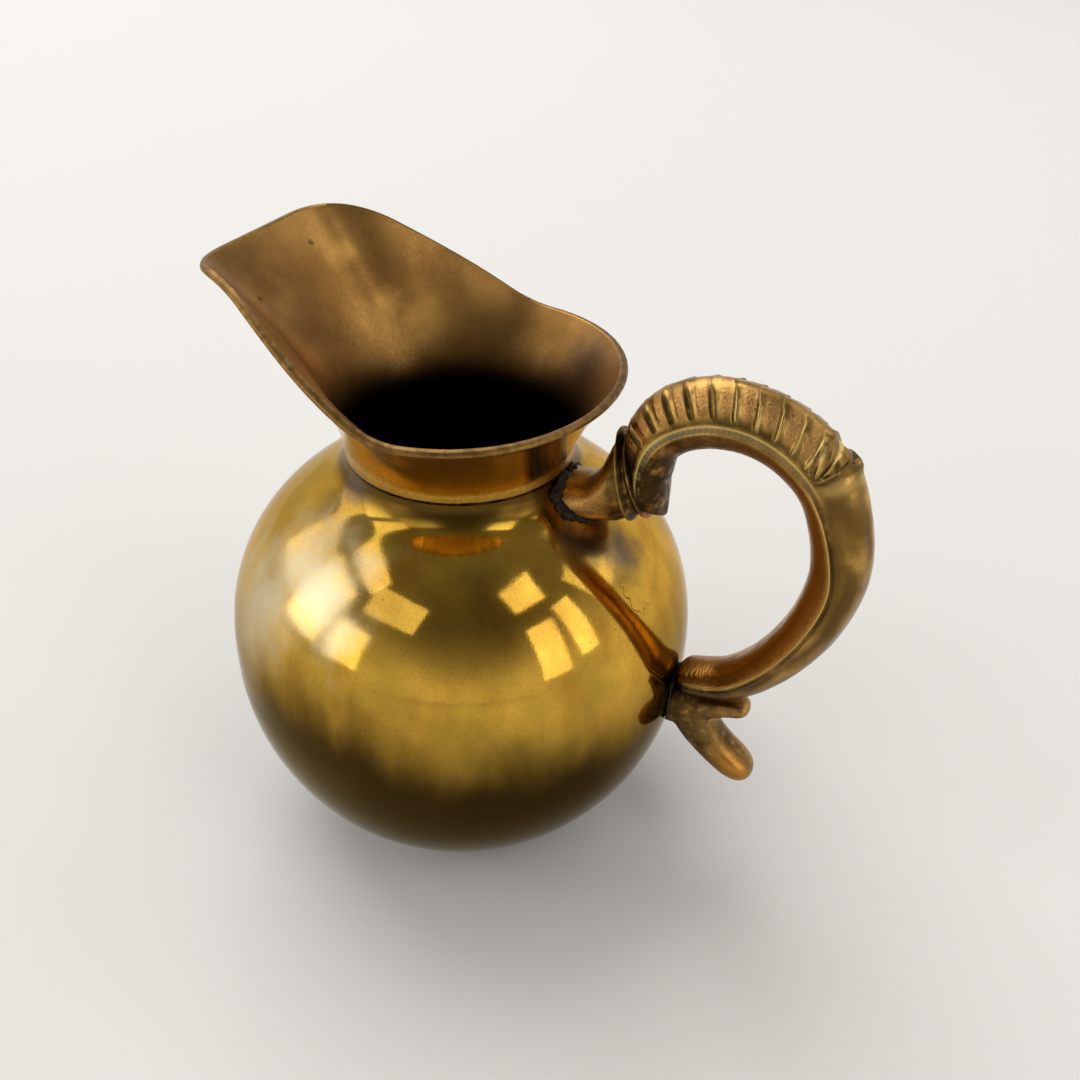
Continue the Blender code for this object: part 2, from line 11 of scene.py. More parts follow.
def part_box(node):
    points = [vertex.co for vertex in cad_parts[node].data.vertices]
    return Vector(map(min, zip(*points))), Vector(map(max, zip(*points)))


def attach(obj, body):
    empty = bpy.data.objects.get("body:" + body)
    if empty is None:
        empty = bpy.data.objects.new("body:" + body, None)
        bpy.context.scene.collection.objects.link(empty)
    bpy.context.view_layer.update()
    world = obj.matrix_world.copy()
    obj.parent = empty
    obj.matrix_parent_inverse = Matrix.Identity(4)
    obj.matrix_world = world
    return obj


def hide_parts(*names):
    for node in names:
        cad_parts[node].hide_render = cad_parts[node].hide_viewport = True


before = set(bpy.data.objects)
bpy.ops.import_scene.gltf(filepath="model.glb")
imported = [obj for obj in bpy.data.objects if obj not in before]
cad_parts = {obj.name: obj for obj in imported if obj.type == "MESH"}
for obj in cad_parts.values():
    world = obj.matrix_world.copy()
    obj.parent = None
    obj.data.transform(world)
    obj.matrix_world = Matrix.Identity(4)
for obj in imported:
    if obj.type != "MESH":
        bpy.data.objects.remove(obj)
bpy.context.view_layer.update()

bl_info = {
    "name": "Brass pitcher",
    "version": (1, 0, 0),
    "blender": (4, 5, 0),
    "location": "View3D > Sidebar > Pitcher",
    "description": "Spun brass pitcher with a raised spout and a cast horn handle",
    "category": "Add Mesh",
}

# The frame: +Z is the turning axis, the handle points to +X and the spout to -X, metres.
MM = 0.001
MOUTH_LOW, MOUTH_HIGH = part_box("neck_spout")
BRAZE_LOW, BRAZE_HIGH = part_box("neck_braze")

# Belly
BELLY_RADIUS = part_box("belly_shell")[1].y
BELLY_HEIGHT = 0.0484          # its widest ring
UPPER_DEPTH = 0.0468
UPPER_POWER = 2.3              # how full the upper half is; 2 is an ellipse
SWEEP_RADIUS = 0.0364          # where the shoulder starts to sweep up to the neck
SWEEP_RUN = 0.62               # share of that sweep that goes straight on down the shoulder
BASE_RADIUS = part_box("base_disc")[1].x + 1.6 * MM
FULLER = 0.35 * MM             # how much the lower half swells beyond an ellipse
FLATTER = 0.40 * MM            # and how much it is drawn in again near the base
DISC_TOP = 2.5 * MM            # the base disc is let in this far

# Neck and mouth
NECK_RADIUS = 0.0241
SEAM_HEIGHT = BRAZE_LOW.z
RIM_HEIGHT = 0.1123
LIP_HEIGHT = 0.1322
RIM_BACK = MOUTH_HIGH.x
RIM_HALF_WIDTH = MOUTH_HIGH.y
LIP_REACH = -MOUTH_LOW.x
LIP_HALF_WIDTH = 0.0244        # where the rounded corners of the spout begin
LIP_CORNER = 0.0088            # how far those corners reach back from the end
RISE_START = 0.0062
RIM_FILED = 0.4 * MM           # taken off the rim by the file
# Painted shade: the inside of the neck is painted black up to THROAT_DARK and clear from
# THROAT_CLEAR
THROAT_DARK = 97 * MM          # the inside is black up to here
THROAT_CLEAR = 116 * MM        # and clear from here on

# Handle
COLLAR_TILT = math.radians(17)
COLLAR_WEDGE = math.radians(8)
COLLAR_THICK = 0.0030
COLLAR_TALL = 0.0182
COLLAR_WIDE = 0.0146
COLLAR_CENTRE = Vector((NECK_RADIUS + 0.0145, 0.0, 0.0970))
COLLAR_BACK_LIP = 0.13         # shares of its thickness where its two lips stand out
COLLAR_FRONT_LIP = 0.90
STEM_ROOT = Vector((NECK_RADIUS, 0.0, 0.0893))
STEM_WIDE = (0.0150, 0.0140, COLLAR_WIDE - 1.2 * MM)    # at its root, waist and end
STEM_TALL = (0.0094, 0.0086, COLLAR_TALL - 1.4 * MM)
HORN_REACH = 0.0360
HORN_TIP = Vector((BELLY_RADIUS + 0.0016, 0.0, BELLY_HEIGHT + 0.0026))
HORN_WIDE = 0.0125
HORN_OUTER = 0.0085
HORN_INNER = 0.0052
TIP_ROUNDING = 0.0050          # of the curled tip
BLUNT_ROUNDING = 0.0022        # of the blunt tip on the belly
TIP_GAP = 0.0014               # bed of solder under that tip, which the casting fills here
FOOT_ROOT = Vector((BELLY_RADIUS, 0.0, BELLY_HEIGHT - 0.0056))

# Horn, from the curled tip over the top to the lower tip: place across (share of
# HORN_REACH) and up (share of the height between the ends), then shares of HORN_OUTER,
# of HORN_INNER and of HORN_WIDE
HORN_STATIONS = (
    (0.13, 0.84, 0.14, 0.19, 0.48),
    (0.10, 0.94, 0.40, 0.54, 0.99),
    (0.11, 1.04, 0.66, 0.77, 1.04),
    (0.20, 1.18, 0.84, 0.83, 1.01),
    (0.36, 1.28, 0.99, 0.90, 0.99),
    (0.57, 1.34, 1.00, 1.00, 0.99),
    (0.78, 1.33, 0.96, 0.94, 0.99),
    (0.94, 1.25, 1.00, 0.81, 0.99),
    (1.04, 1.11, 0.95, 0.73, 0.98),
    (1.06, 0.89, 0.88, 0.81, 0.94),
    (1.00, 0.68, 0.78, 0.87, 0.93),
    (0.80, 0.43, 0.78, 0.73, 0.94),
    (0.54, 0.21, 0.74, 0.58, 0.96),
    (0.27, 0.06, 0.66, 0.42, 0.93),
    (0.00, 0.00, 0.35, 0.23, 0.67),
)

SHARP_TURN = math.radians(50)  # faces of a wall that turn by more than this meet in an edge
SMALL = 1e-12                  # keeps a length that something is divided by off nought

# The picture
PICTURE = 1080                 # pixels a side
LENS_PIXELS = 1040             # focal length in those pixels
SENSOR_WIDTH = 36.0            # millimetres
CAMERA_AZIMUTH = math.radians(27.5)
CAMERA_ELEVATION = math.radians(39.0)
CAMERA_DISTANCE = 4.741 * BELLY_RADIUS
CAMERA_ROLL = math.radians(-1.56)
BELLY_IN_PICTURE = (464.8, 614.2)   # where the middle of the belly stands, from the top left

# Studio: lamps by azimuth and elevation, angles across and up, and brightness
LAMP_DISTANCE = 4.0
LAMP_AIM = Vector((0.0, 0.0, 70 * MM))
STUDIO_LAMPS = (
    ("soft_left_far", -84, 26, 20, 26, 0.8),
    ("soft_left", -58, 24, 22, 36, 1.6),
    ("soft_left_near", -32, 17, 17, 22, 1.8),
    ("soft_left_high", -54, 52, 22, 10, 1.4),
    ("soft_front_left", -18, 46, 26, 16, 0.9),
    ("soft_right", 70, 20, 14, 32, 1.5),
    ("soft_right_far", 88, 24, 10, 32, 1.5),
    ("soft_right_high", 72, 54, 16, 14, 1.8),
    ("soft_back_right", 120, 36, 26, 24, 0.9),
    ("high_back_right", 152, 50, 30, 26, 0.7),
    ("high_back_left", -125, 56, 46, 40, 2.9),
)
FLOOR_RADIUS = 3.6             # inside the ring of lamps, so that no unlit paper shows
ROOM_HORIZON = 0.80            # brightness of the room at eye level
ROOM_OVERHEAD = 0.20
ROOM_FADE = (0.10, 0.75)       # sines of the elevations between which it falls
ROOM_FRONT = 0.50              # share of that light left in front of the pitcher
ROOM_NEAR = (0.76, 1.0)        # cosines of the angles from there between which it falls
ROOM_WHITE = (1.0, 0.97, 0.93)


def from_hex(code):
    """Linear colour of an sRGB hex value."""
    values = [int(code[i:i + 2], 16) / 255 for i in (0, 2, 4)]
    return tuple(v / 12.92 if v <= 0.04045 else ((v + 0.055) / 1.055) ** 2.4 for v in values)


def per_mm(size):
    """Texture scale at which one cell of a pattern is that many millimetres."""
    return 1.0 / (size * MM)


# Curves and grids of points

def catmull(values, places):
    """Read a smooth row of tuples at places counted in rows."""
    values = np.array(values, float)
    last = len(values) - 1
    i = np.clip(places.astype(int), 0, last - 1)
    t = (places - i)[:, None]
    a, b, c, d = (values[np.clip(i + k, 0, last)] for k in (-1, 0, 1, 2))
    return 0.5 * (2 * b + (c - a) * t + (2 * a - 5 * b + 4 * c - d) * t ** 2
                  + (3 * b - a - 3 * c + d) * t ** 3)


def bezier(points, shares):
    """Curve from the first point to the last, drawn towards those between."""
    rows = [np.array(point, float)[None, :] for point in points]
    t = np.asarray(shares, float)[:, None]
    while len(rows) > 1:
        rows = [a + (b - a) * t for a, b in zip(rows, rows[1:])]
    return rows[0]


def ease(t):
    """Smooth rise from 0 to 1 while t does."""
    t = np.clip(t, 0.0, 1.0)
    return t * t * (3.0 - 2.0 * t)


def bump(distance, width):
    """Bell that is 1 at no distance and falls to nothing over a width."""
    return np.exp(-(distance / width) ** 2)


def evenly(points, count):
    """Points at even spaces along a polyline."""
    run = np.concatenate([[0.0], np.cumsum(np.linalg.norm(np.diff(points, axis=0), axis=1))])
    wanted = np.linspace(0.0, run[-1], count)
    return np.stack([np.interp(wanted, run, column) for column in points.T], axis=1)


def grid_normals(grid):
    """Unit normals of a grid of points whose columns close into rings."""
    along = np.gradient(grid, axis=0)
    around = np.roll(grid, -1, axis=1) - np.roll(grid, 1, axis=1)
    normals = np.cross(around, along)
    return normals / np.maximum(np.linalg.norm(normals, axis=2, keepdims=True), SMALL)


def grain(grid, size, seed):
    """Smooth noise from -1 to 1 at every point, with lumps of a size in metres."""
    shift = Vector((seed * 3.7, seed * 1.3, seed * 7.1))
    flat = [noise.noise(Vector(point) / size + shift) for point in grid.reshape(-1, 3)]
    return np.array(flat).reshape(grid.shape[:-1])


def skin(name, grid, outer, marks=None, loop_rows=False, inner_rows=None, inner=None):
    """Piece skinned over rings of points, with a finish. Open ends are closed with a fan.

    marks are values at the points that the finish reads by name. Faces that start in
    inner_rows take the finish called inner, and the others the one called outer.
    """
    rows, columns = grid.shape[:2]
    points = list(map(tuple, grid.reshape(-1, 3)))
    faces = []
    finishes = []
    for r in range(rows if loop_rows else rows - 1):
        low, high = r * columns, ((r + 1) % rows) * columns
        inside = inner_rows is not None and inner_rows[0] <= r < inner_rows[1]
        for c in range(columns):
            d = (c + 1) % columns
            faces.append((low + c, low + d, high + d, high + c))
            finishes.append(int(inside))
    caps = []
    if not loop_rows:
        for row in (0, rows - 1):
            middle = len(points)
            points.append(tuple(grid[row].mean(axis=0)))
            caps.append(row)
            faces += [(row * columns + c, row * columns + (c + 1) % columns, middle)
                      for c in range(columns)]
            finishes += [0] * columns
    mesh = bpy.data.meshes.new(name)
    mesh.from_pydata(points, [], faces)
    mesh.materials.append(outer)
    if inner:
        mesh.materials.append(inner)
    mesh.polygons.foreach_set("material_index", finishes)
    for mark, values in (marks or {}).items():
        middles = [values[row].mean() for row in caps]
        write_mark(mesh, mark, np.concatenate([values.ravel(), middles]))
    work = bmesh.new()
    work.from_mesh(mesh)
    bmesh.ops.recalc_face_normals(work, faces=work.faces)
    work.to_mesh(mesh)
    work.free()
    mesh.shade_smooth()
    if loop_rows:
        mesh.set_sharp_from_angle(angle=SHARP_TURN)
    return settle(bpy.data.objects.new(name, mesh))


def write_mark(mesh, name, values):
    """Keep a value at each point of a mesh under a name."""
    layer = mesh.attributes.new(name, "FLOAT", "POINT")
    layer.data.foreach_set("value", values.astype(np.float32))


def settle(piece):
    """Put a piece in the scene, on the pitcher's body."""
    bpy.context.scene.collection.objects.link(piece)
    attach(piece, "root")
    return piece


# Shape of the wall

def upper_height(radius):
    """Height of the upper half above the widest ring."""
    share = np.clip(1.0 - (radius / BELLY_RADIUS) ** 2, 0.0, None)
    return UPPER_DEPTH * share ** (1.0 / UPPER_POWER)


def belly_outline(count):
    """Outside of the belly from the seam down to the table, as (radius, height)."""
    start = (SWEEP_RADIUS, BELLY_HEIGHT + upper_height(SWEEP_RADIUS))
    step = SWEEP_RADIUS / 400
    slope = (upper_height(SWEEP_RADIUS) - upper_height(SWEEP_RADIUS + step)) / step
    run = SWEEP_RUN * (SWEEP_RADIUS - NECK_RADIUS)
    knee = (SWEEP_RADIUS - run, start[1] + run * slope)
    upright = (NECK_RADIUS + 0.2 * MM, SEAM_HEIGHT - 2.6 * MM)
    bend = (knee[0] - 1.2 * MM, knee[1] - 0.9 * MM)
    sweep = bezier([(NECK_RADIUS, SEAM_HEIGHT), upright, bend, knee, start],
                   np.linspace(0, 1, 80)[:-1])
    turn = np.linspace(math.acos(SWEEP_RADIUS / BELLY_RADIUS), 0.0, 120)[:-1]
    radius = BELLY_RADIUS * np.cos(turn)
    upper = np.stack([radius, BELLY_HEIGHT + upper_height(radius)], axis=1)
    lowest = math.acos(BASE_RADIUS / BELLY_RADIUS)
    depth = BELLY_HEIGHT / math.sin(lowest)
    turn = np.linspace(0.0, lowest, 160)
    fuller = FULLER * np.sin(np.clip(turn / 0.95, 0, 1) * math.pi)
    flatter = FLATTER * ease((turn - 0.75) / 0.3) * (turn < lowest)
    swell = fuller - flatter * np.sin(np.clip((lowest - turn) / 0.2, 0, 1) * math.pi / 2)
    lower = np.stack([(BELLY_RADIUS + swell) * np.cos(turn),
                      BELLY_HEIGHT - (depth + swell) * np.sin(turn)], axis=1)
    lower[-1] = (BASE_RADIUS, 0.0)
    lower[:, 0] = np.minimum(lower[:, 0], BELLY_RADIUS)
    return evenly(np.concatenate([sweep, upper, lower]), count)


def inward(outline, distance):
    """Move an outline that runs down its outer side towards the axis by a wall."""
    along = np.gradient(outline, axis=0)
    along /= np.linalg.norm(along, axis=1, keepdims=True)
    return outline + np.stack([along[:, 1], -along[:, 0]], axis=1) * distance


# The pitcher's outside as (radius, height), with a straight neck above the seam
WALL = np.concatenate([[(NECK_RADIUS, LIP_HEIGHT), (NECK_RADIUS, SEAM_HEIGHT + MM)],
                       belly_outline(600)])
WALL = np.concatenate([evenly(WALL[:3], 80), WALL[3:]])


def off_wall(grid, clearance):
    """Push points in or near the pitcher's wall out of it, and tell which were pushed."""
    flat = grid.reshape(-1, 3).copy()
    radius = np.hypot(flat[:, 0], flat[:, 1])
    spots = np.stack([radius, flat[:, 2]], axis=1)
    along = np.gradient(WALL, axis=0)
    normal = np.stack([-along[:, 1], along[:, 0]], axis=1)
    normal /= np.linalg.norm(normal, axis=1, keepdims=True)
    nearest = np.argmin(((spots[:, None] - WALL) ** 2).sum(axis=2), axis=1)
    away = ((spots - WALL[nearest]) * normal[nearest]).sum(axis=1)
    push = np.maximum(clearance - away, 0.0)
    moved = spots + normal[nearest] * push[:, None]
    flat[:, :2] *= (moved[:, 0] / np.maximum(radius, SMALL))[:, None]
    flat[:, 2] = moved[:, 1]
    return flat.reshape(grid.shape), (away < clearance).reshape(grid.shape[:-1])


# Finishes

# Single marks on the brass: centre in the frame and reach in mm, then how ragged the edge is
# Painted reflection: a pale grey haze on the upper left of the belly, where the finish is also made
# duller
PAINTED_HAZE = (((-14, -38, 80), 20, 0.8), ((-29, -38, 68), 22, 0.8))
HEAT = (((32, -10, 86), 9, 0.5), ((38.5, -5, 81.5), 9, 0.5))
CRACK = ((42, -11, 74), 9, 0.2)
SMUDGE = ((-13, -21, 93.5), 7, 0.5)
INSIDE_GREY = ((19, 19, 108), 15, 0.5)
INSIDE_LIP = ((-45, -8, 129), 16, 0.5)
INSIDE_RAMP = ((-30, -3, 115), 17, 0.5)
# Painted highlights: golden spots of light on the inside of the spout
INSIDE_PAINTED_HIGHLIGHTS = (((-18, 21, 112), 10, 0.5), ((-36, 17, 125), 4, 0.5), ((-26, 17.5, 115), 5, 0.5))
INSIDE_SPOTS = (((-40.5, 11.4, 127.8), 1.1, 0.5), ((-37.0, -12.3, 124.3), 1.1, 0.5))

# Heights on the belly in mm
CREASE = (89.5, 92.5)          # the shoulder darkens towards the seam between these
# Painted dark reflection: the lower half of the belly is painted dark brown between these heights
PAINTED_DARK_RUN = (80, 53)           # the belly turns brown between these
PAINTED_DARK_RAGGED = 14              # how far the streaks of that brown reach up and down
PAINTED_DARK_TILT = 0.06              # and how much lower it starts on the handle's side


def add_node(tree, kind, inputs=None, **settings):
    """Add a node, set its properties, and fill its inputs or link them to a node or socket."""
    made = tree.nodes.new(kind)
    for name, value in settings.items():
        setattr(made, name, value)
    for name, value in (inputs or {}).items():
        if isinstance(value, bpy.types.Node):
            value = value.outputs[0]
        if isinstance(value, bpy.types.NodeSocket):
            tree.links.new(value, made.inputs[name])
        else:
            made.inputs[name].default_value = value
    return made


def finish_tree(name, metallic=1.0):
    """New material with its tree, its shader and the object's coordinates."""
    made = bpy.data.materials.new(name)
    made.use_nodes = True
    tree = made.node_tree
    shader = tree.nodes["Principled BSDF"]
    shader.inputs["Metallic"].default_value = metallic
    spot = add_node(tree, "ShaderNodeTexCoord").outputs["Object"]
    return made, tree, shader, spot


def mottle(tree, spot, size, low, high, detail=3.0, stretch=None):
    """Share from 0 to 1 that rises where noise with lumps of a size in mm is high."""
    if stretch:
        spot = add_node(tree, "ShaderNodeMapping", {"Vector": spot, "Scale": stretch})
    cloud = add_node(tree, "ShaderNodeTexNoise",
                     {"Vector": spot, "Scale": per_mm(size), "Detail": detail})
    return add_node(tree, "ShaderNodeMapRange",
                    {"Value": cloud, "From Min": low, "From Max": high},
                    interpolation_type="SMOOTHSTEP")


def pits(tree, spot, spacing, radius):
    """Share that is 1 in small round pits, by their spacing and radius in mm."""
    cells = add_node(tree, "ShaderNodeTexVoronoi", {"Vector": spot, "Scale": per_mm(spacing)})
    edge = radius / spacing
    return add_node(tree, "ShaderNodeMapRange",
                    {"Value": cells, "From Min": edge, "From Max": edge * 0.5})


def tide_line(tree, spot, size):
    """Share that is 1 on thin wandering lines, as a crack or the edge of a dried drop leaves."""
    cloud = add_node(tree, "ShaderNodeTexNoise",
                     {"Vector": spot, "Scale": per_mm(size), "Detail": 3.0})
    off = add_node(tree, "ShaderNodeMath", {0: cloud, 1: 0.5}, operation="SUBTRACT")
    off = add_node(tree, "ShaderNodeMath", {0: off}, operation="ABSOLUTE")
    return add_node(tree, "ShaderNodeMapRange",
                    {"Value": off, "From Min": 0.012, "From Max": 0.004})


def stain(tree, spot, centre, reach, ragged):
    """Share that is 1 near a place on the object and fades raggedly over a reach, in mm."""
    offset = add_node(tree, "ShaderNodeVectorMath", {0: spot, 1: Vector(centre) * MM},
                      operation="DISTANCE").outputs["Value"]
    edge = add_node(tree, "ShaderNodeTexNoise",
                    {"Vector": spot, "Scale": per_mm(reach * 0.45), "Detail": 4.0})
    moved = add_node(tree, "ShaderNodeMath", {0: edge, 1: -reach * MM * ragged * 2, 2: offset},
                     operation="MULTIPLY_ADD")
    return add_node(tree, "ShaderNodeMapRange",
                    {"Value": moved, "From Min": reach * MM * (1 - ragged),
                     "From Max": -reach * MM * ragged}, interpolation_type="SMOOTHSTEP")


def joined(tree, operation, shares):
    """One share from several: MAXIMUM where any of them holds, MULTIPLY where all do."""
    whole = shares[0]
    for share in shares[1:]:
        whole = add_node(tree, "ShaderNodeMath", {0: whole, 1: share}, operation=operation)
    return whole


def stains(tree, spot, places):
    """Share that is 1 near any of several places."""
    return joined(tree, "MAXIMUM", [stain(tree, spot, *place) for place in places])


def marks_of(tree, *names):
    """Values that a piece's points carry for its finish."""
    return [add_node(tree, "ShaderNodeAttribute", attribute_name=name).outputs["Fac"]
            for name in names]


def coats(tree, base, *layers):
    """Lay coats over a base colour in turn, each by its share, its colour and its strength."""
    base = (*base, 1.0)
    for share, coat, strength in layers:
        if strength != 1.0:
            share = joined(tree, "MULTIPLY", (share, strength))
        base = add_node(tree, "ShaderNodeMix", {0: share, 6: base, 7: (*coat, 1.0)},
                        data_type="RGBA").outputs[2]
    return base


def wire(tree, shader, base, dull, roughness, height, depth):
    """Lead a finish to its shader.

    dull is a share that goes from the lower to the higher roughness, and height is one
    that lifts the surface by up to a depth in millimetres.
    """
    level = add_node(tree, "ShaderNodeMapRange",
                     {"Value": dull, "To Min": roughness[0], "To Max": roughness[1]})
    lifted = add_node(tree, "ShaderNodeBump",
                      {"Height": height, "Strength": 1.0, "Distance": depth * MM})
    tree.links.new(base, shader.inputs["Base Color"])
    tree.links.new(level.outputs[0], shader.inputs["Roughness"])
    tree.links.new(lifted.outputs[0], shader.inputs["Normal"])


def polished_brass(colours):
    """Yellow brass, spun on a chuck, polished and then aged.

    It gives clear but wavy reflections, a pale grey haze on the upper left that is a painted
    reflection on a duller finish, fine wiping scratches, pinprick pits, and a painted dark
    reflection: brown that runs down in streaks over the lower half and darkens towards the base.
    Such speckle and scratches are usually finer than 0.1 mm, and are drawn 0.45 mm wide
    so that they show.
    """
    made, tree, shader, spot = finish_tree("brass_spun_polished_aged")
    parts = add_node(tree, "ShaderNodeSeparateXYZ", {0: spot}).outputs
    cloudy = mottle(tree, spot, 22, 0.36, 0.66)
    speckle = mottle(tree, spot, 0.45, 0.42, 0.68, 2.0)
    runs = mottle(tree, spot, 11, 0.44, 0.72, 4.0, (1.0, 1.0, 0.35))
    # The first share is a painted reflection: pale grey haze on the upper left, also duller
    painted_haze, heat = stains(tree, spot, PAINTED_HAZE), stains(tree, spot, HEAT)
    tilted = add_node(tree, "ShaderNodeMath", {0: parts[0], 1: PAINTED_DARK_TILT, 2: parts[2]},
                      operation="MULTIPLY_ADD")
    streaks = mottle(tree, spot, 26, 0.25, 0.75, 6.0, (1.0, 1.0, 0.4))
    level = add_node(tree, "ShaderNodeMath", {0: streaks, 1: PAINTED_DARK_RAGGED * MM, 2: tilted},
                     operation="MULTIPLY_ADD")
    # low is a painted dark reflection: it paints the lower half dark brown in ragged streaks, where
    # the belly would mirror the pale floor
    low, crease = (add_node(tree, "ShaderNodeMapRange",
                            {"Value": value, "From Min": start * MM, "From Max": end * MM},
                            interpolation_type="SMOOTHSTEP")
                   for value, (start, end) in ((level, PAINTED_DARK_RUN), (parts[2], CREASE)))
    crack = joined(tree, "MULTIPLY", (tide_line(tree, spot, 9), stain(tree, spot, *CRACK)))
    base = coats(tree, colours.brass,
                 (cloudy, colours.brass_olive, 1.0),
                 (speckle, colours.brass_brown, 0.20),
                 (runs, colours.brass_brown, 0.45),
                 (painted_haze, colours.painted_haze_grey, 0.78),
                 (low, colours.painted_dark_reflection, 0.97),
                 (crease, colours.tarnish_brown, 0.9),
                 (heat, colours.heat_stain, 0.9),
                 (crack, colours.tarnish_brown, 0.8),
                 (stain(tree, spot, *SMUDGE), colours.heat_stain, 0.7),
                 (pits(tree, spot, 5.0, 0.22), colours.tarnish_brown, 0.7))
    burnt = joined(tree, "MULTIPLY", (heat, 1.3))
    dull = add_node(tree, "ShaderNodeMath",
                    {0: cloudy, 1: 0.2, 2: joined(tree, "MAXIMUM", (painted_haze, burnt, crease))},
                    operation="MULTIPLY_ADD")
    wipes = mottle(tree, spot, 0.45, 0.35, 0.75, 1.0, (1.0, 1.0, 0.06))
    wire(tree, shader, base, dull, (0.07, 0.26), wipes, 0.0015)
    shader.inputs["Specular Tint"].default_value = (*colours.edge_tint, 1.0)
    return made


def tarnished_brass(colours):
    """Yellow brass, spun and left unpolished inside, browned by age.

    It gives a satin brown-gold with a soft broad sheen, small dark spots, a few painted
    highlights, and painted shade that turns the throat and the belly's inside nearly black.
    """
    made, tree, shader, spot = finish_tree("brass_spun_tarnished_satin")
    # Painted shade: this mark paints the inside of the belly, the seam and the throat black
    painted_inside_shade, = marks_of(tree, "painted_inside_shade")
    fine = mottle(tree, spot, 0.7, 0.35, 0.7, 4.0)
    base = coats(tree, colours.inside_brown,
                 (mottle(tree, spot, 16, 0.35, 0.68), colours.inside_gold, 1.0),
                 (fine, colours.tarnish_brown, 0.13),
                 (stain(tree, spot, *INSIDE_GREY), colours.inside_grey, 0.8),
                 (stain(tree, spot, *INSIDE_LIP), colours.inside_dark, 0.75),
                 (stain(tree, spot, *INSIDE_RAMP), colours.inside_dark, 0.6),
                 (stains(tree, spot, INSIDE_PAINTED_HIGHLIGHTS), colours.inside_painted_highlight, 0.5),
                 (painted_inside_shade, colours.soot_and_shade, 1.0),
                 (stains(tree, spot, INSIDE_SPOTS), colours.soot_and_shade, 0.75),
                 (pits(tree, spot, 6.0, 0.3), colours.tarnish_brown, 0.5))
    wire(tree, shader, base, fine, (0.34, 0.42), fine, 0.005)
    return made


def mouth_brass(colours):
    """Yellow brass of the neck's outside: spun and polished, tan where the cut rim was filed.

    It gives a warm orange-gold neck, a dull tan edge and a dark line under it, partly tarnish and
    partly painted shadow.
    """
    made, tree, shader, spot = finish_tree("brass_spun_polished_neck")
    rim, tarnish_and_shade_under_rim, foot = marks_of(tree, "rim", "tarnish_and_shade_under_rim", "foot")
    fine = mottle(tree, spot, 0.7, 0.42, 0.68, 2.0)
    ragged = mottle(tree, spot, 1.6, 0.40, 0.60, 4.0)
    base = coats(tree, colours.neck_gold,
                 (mottle(tree, spot, 24, 0.30, 0.70, 2.0), colours.brass_brown, 0.5),
                 (fine, colours.tarnish_brown, 0.25),
                 (foot, colours.tarnish_brown, 0.4),
                 (joined(tree, "MULTIPLY", (tarnish_and_shade_under_rim, ragged)), colours.soot_and_shade, 0.85),
                 (rim, colours.rim_tan, 0.9),
                 (joined(tree, "MULTIPLY", (rim, ragged)), colours.tarnish_brown, 0.45))
    wire(tree, shader, base, joined(tree, "MAXIMUM", (rim, foot)), (0.16, 0.42), fine, 0.003)
    return made


def cast_brass(colours):
    """Brass cast in sand, filed and rubbed bright on its ridges, with old patina below.

    It gives orange rough cells, black grooves, yellow ridges, a grey-green beaded band,
    olive streaks along the tail, orange wear on the toe, cross scratches from the file
    on the smooth inner face, and painted shade on the horn's inner face and curled tip,
    along the stem's underside and at the foot's root. Sand grain and file scratches are
    usually about 0.2 mm wide, and are drawn 0.5 and 0.35 mm wide so that they show.
    """
    made, tree, shader, spot = finish_tree("brass_cast_filed_patina")
    cell, streak, inner_face, bead, worn, dark, bright, copper = marks_of(
        tree, "cell", "streak", "inner_face", "bead", "worn", "dark", "bright", "copper")
    fine = mottle(tree, spot, 0.5, 0.38, 0.66, 3.0)
    pitted = joined(tree, "MULTIPLY", (cell, pits(tree, spot, 3.0, 0.34)))
    # The dark mark is black patina in grooves, recesses and pits, and painted shade on the horn's
    # inner face and curled tip, along the stem's underside and at the foot's root
    dark = joined(tree, "MULTIPLY", (dark, mottle(tree, spot, 2.2, 0.2, 0.55, 3.0)))
    base = coats(tree, colours.cast,
                 (mottle(tree, spot, 7, 0.35, 0.65), colours.cast_olive, 1.0),
                 (fine, colours.tarnish_brown, 0.16),
                 (cell, colours.cast_orange, 0.85),
                 (joined(tree, "MULTIPLY", (cell, fine)), colours.tarnish_brown, 0.35),
                 (pitted, colours.soot_and_shade, 0.8),
                 (streak, colours.cast_streak, 0.9),
                 (inner_face, colours.inner_face, 0.8),
                 (bead, colours.bead_grey, 0.85),
                 (worn, colours.worn_copper, 0.95),
                 (dark, colours.soot_and_shade, 0.85),
                 (bright, colours.ridge, 0.85),
                 (copper, colours.copper, 0.9))
    rough = joined(tree, "MAXIMUM", (joined(tree, "MULTIPLY", (cell, 0.8)), dark))
    rough = add_node(tree, "ShaderNodeMath", {0: bright, 1: -0.5, 2: rough},
                     operation="MULTIPLY_ADD")
    files = mottle(tree, spot, 0.35, 0.35, 0.7, 1.0, (1.0, 0.08, 1.0))
    filed = joined(tree, "MULTIPLY", (files, inner_face))
    sand = joined(tree, "MULTIPLY", (fine, joined(tree, "MAXIMUM", (cell, 0.10))))
    height = add_node(tree, "ShaderNodeMath", {0: filed, 1: 0.6, 2: sand},
                      operation="MULTIPLY_ADD")
    wire(tree, shader, base, rough, (0.27, 0.52), height, 0.05)
    return made


def braze(colours):
    """Brazing filler run round the neck: a thin dark line, uneven and a little rough."""
    made, tree, shader, spot = finish_tree("brazing_brass_as_flowed")
    cloudy = mottle(tree, spot, 3, 0.35, 0.65)
    base = coats(tree, colours.tarnish_brown, (cloudy, colours.soot_and_shade, 1.0))
    wire(tree, shader, base, cloudy, (0.25, 0.45), mottle(tree, spot, 0.8, 0.3, 0.7), 0.05)
    return made


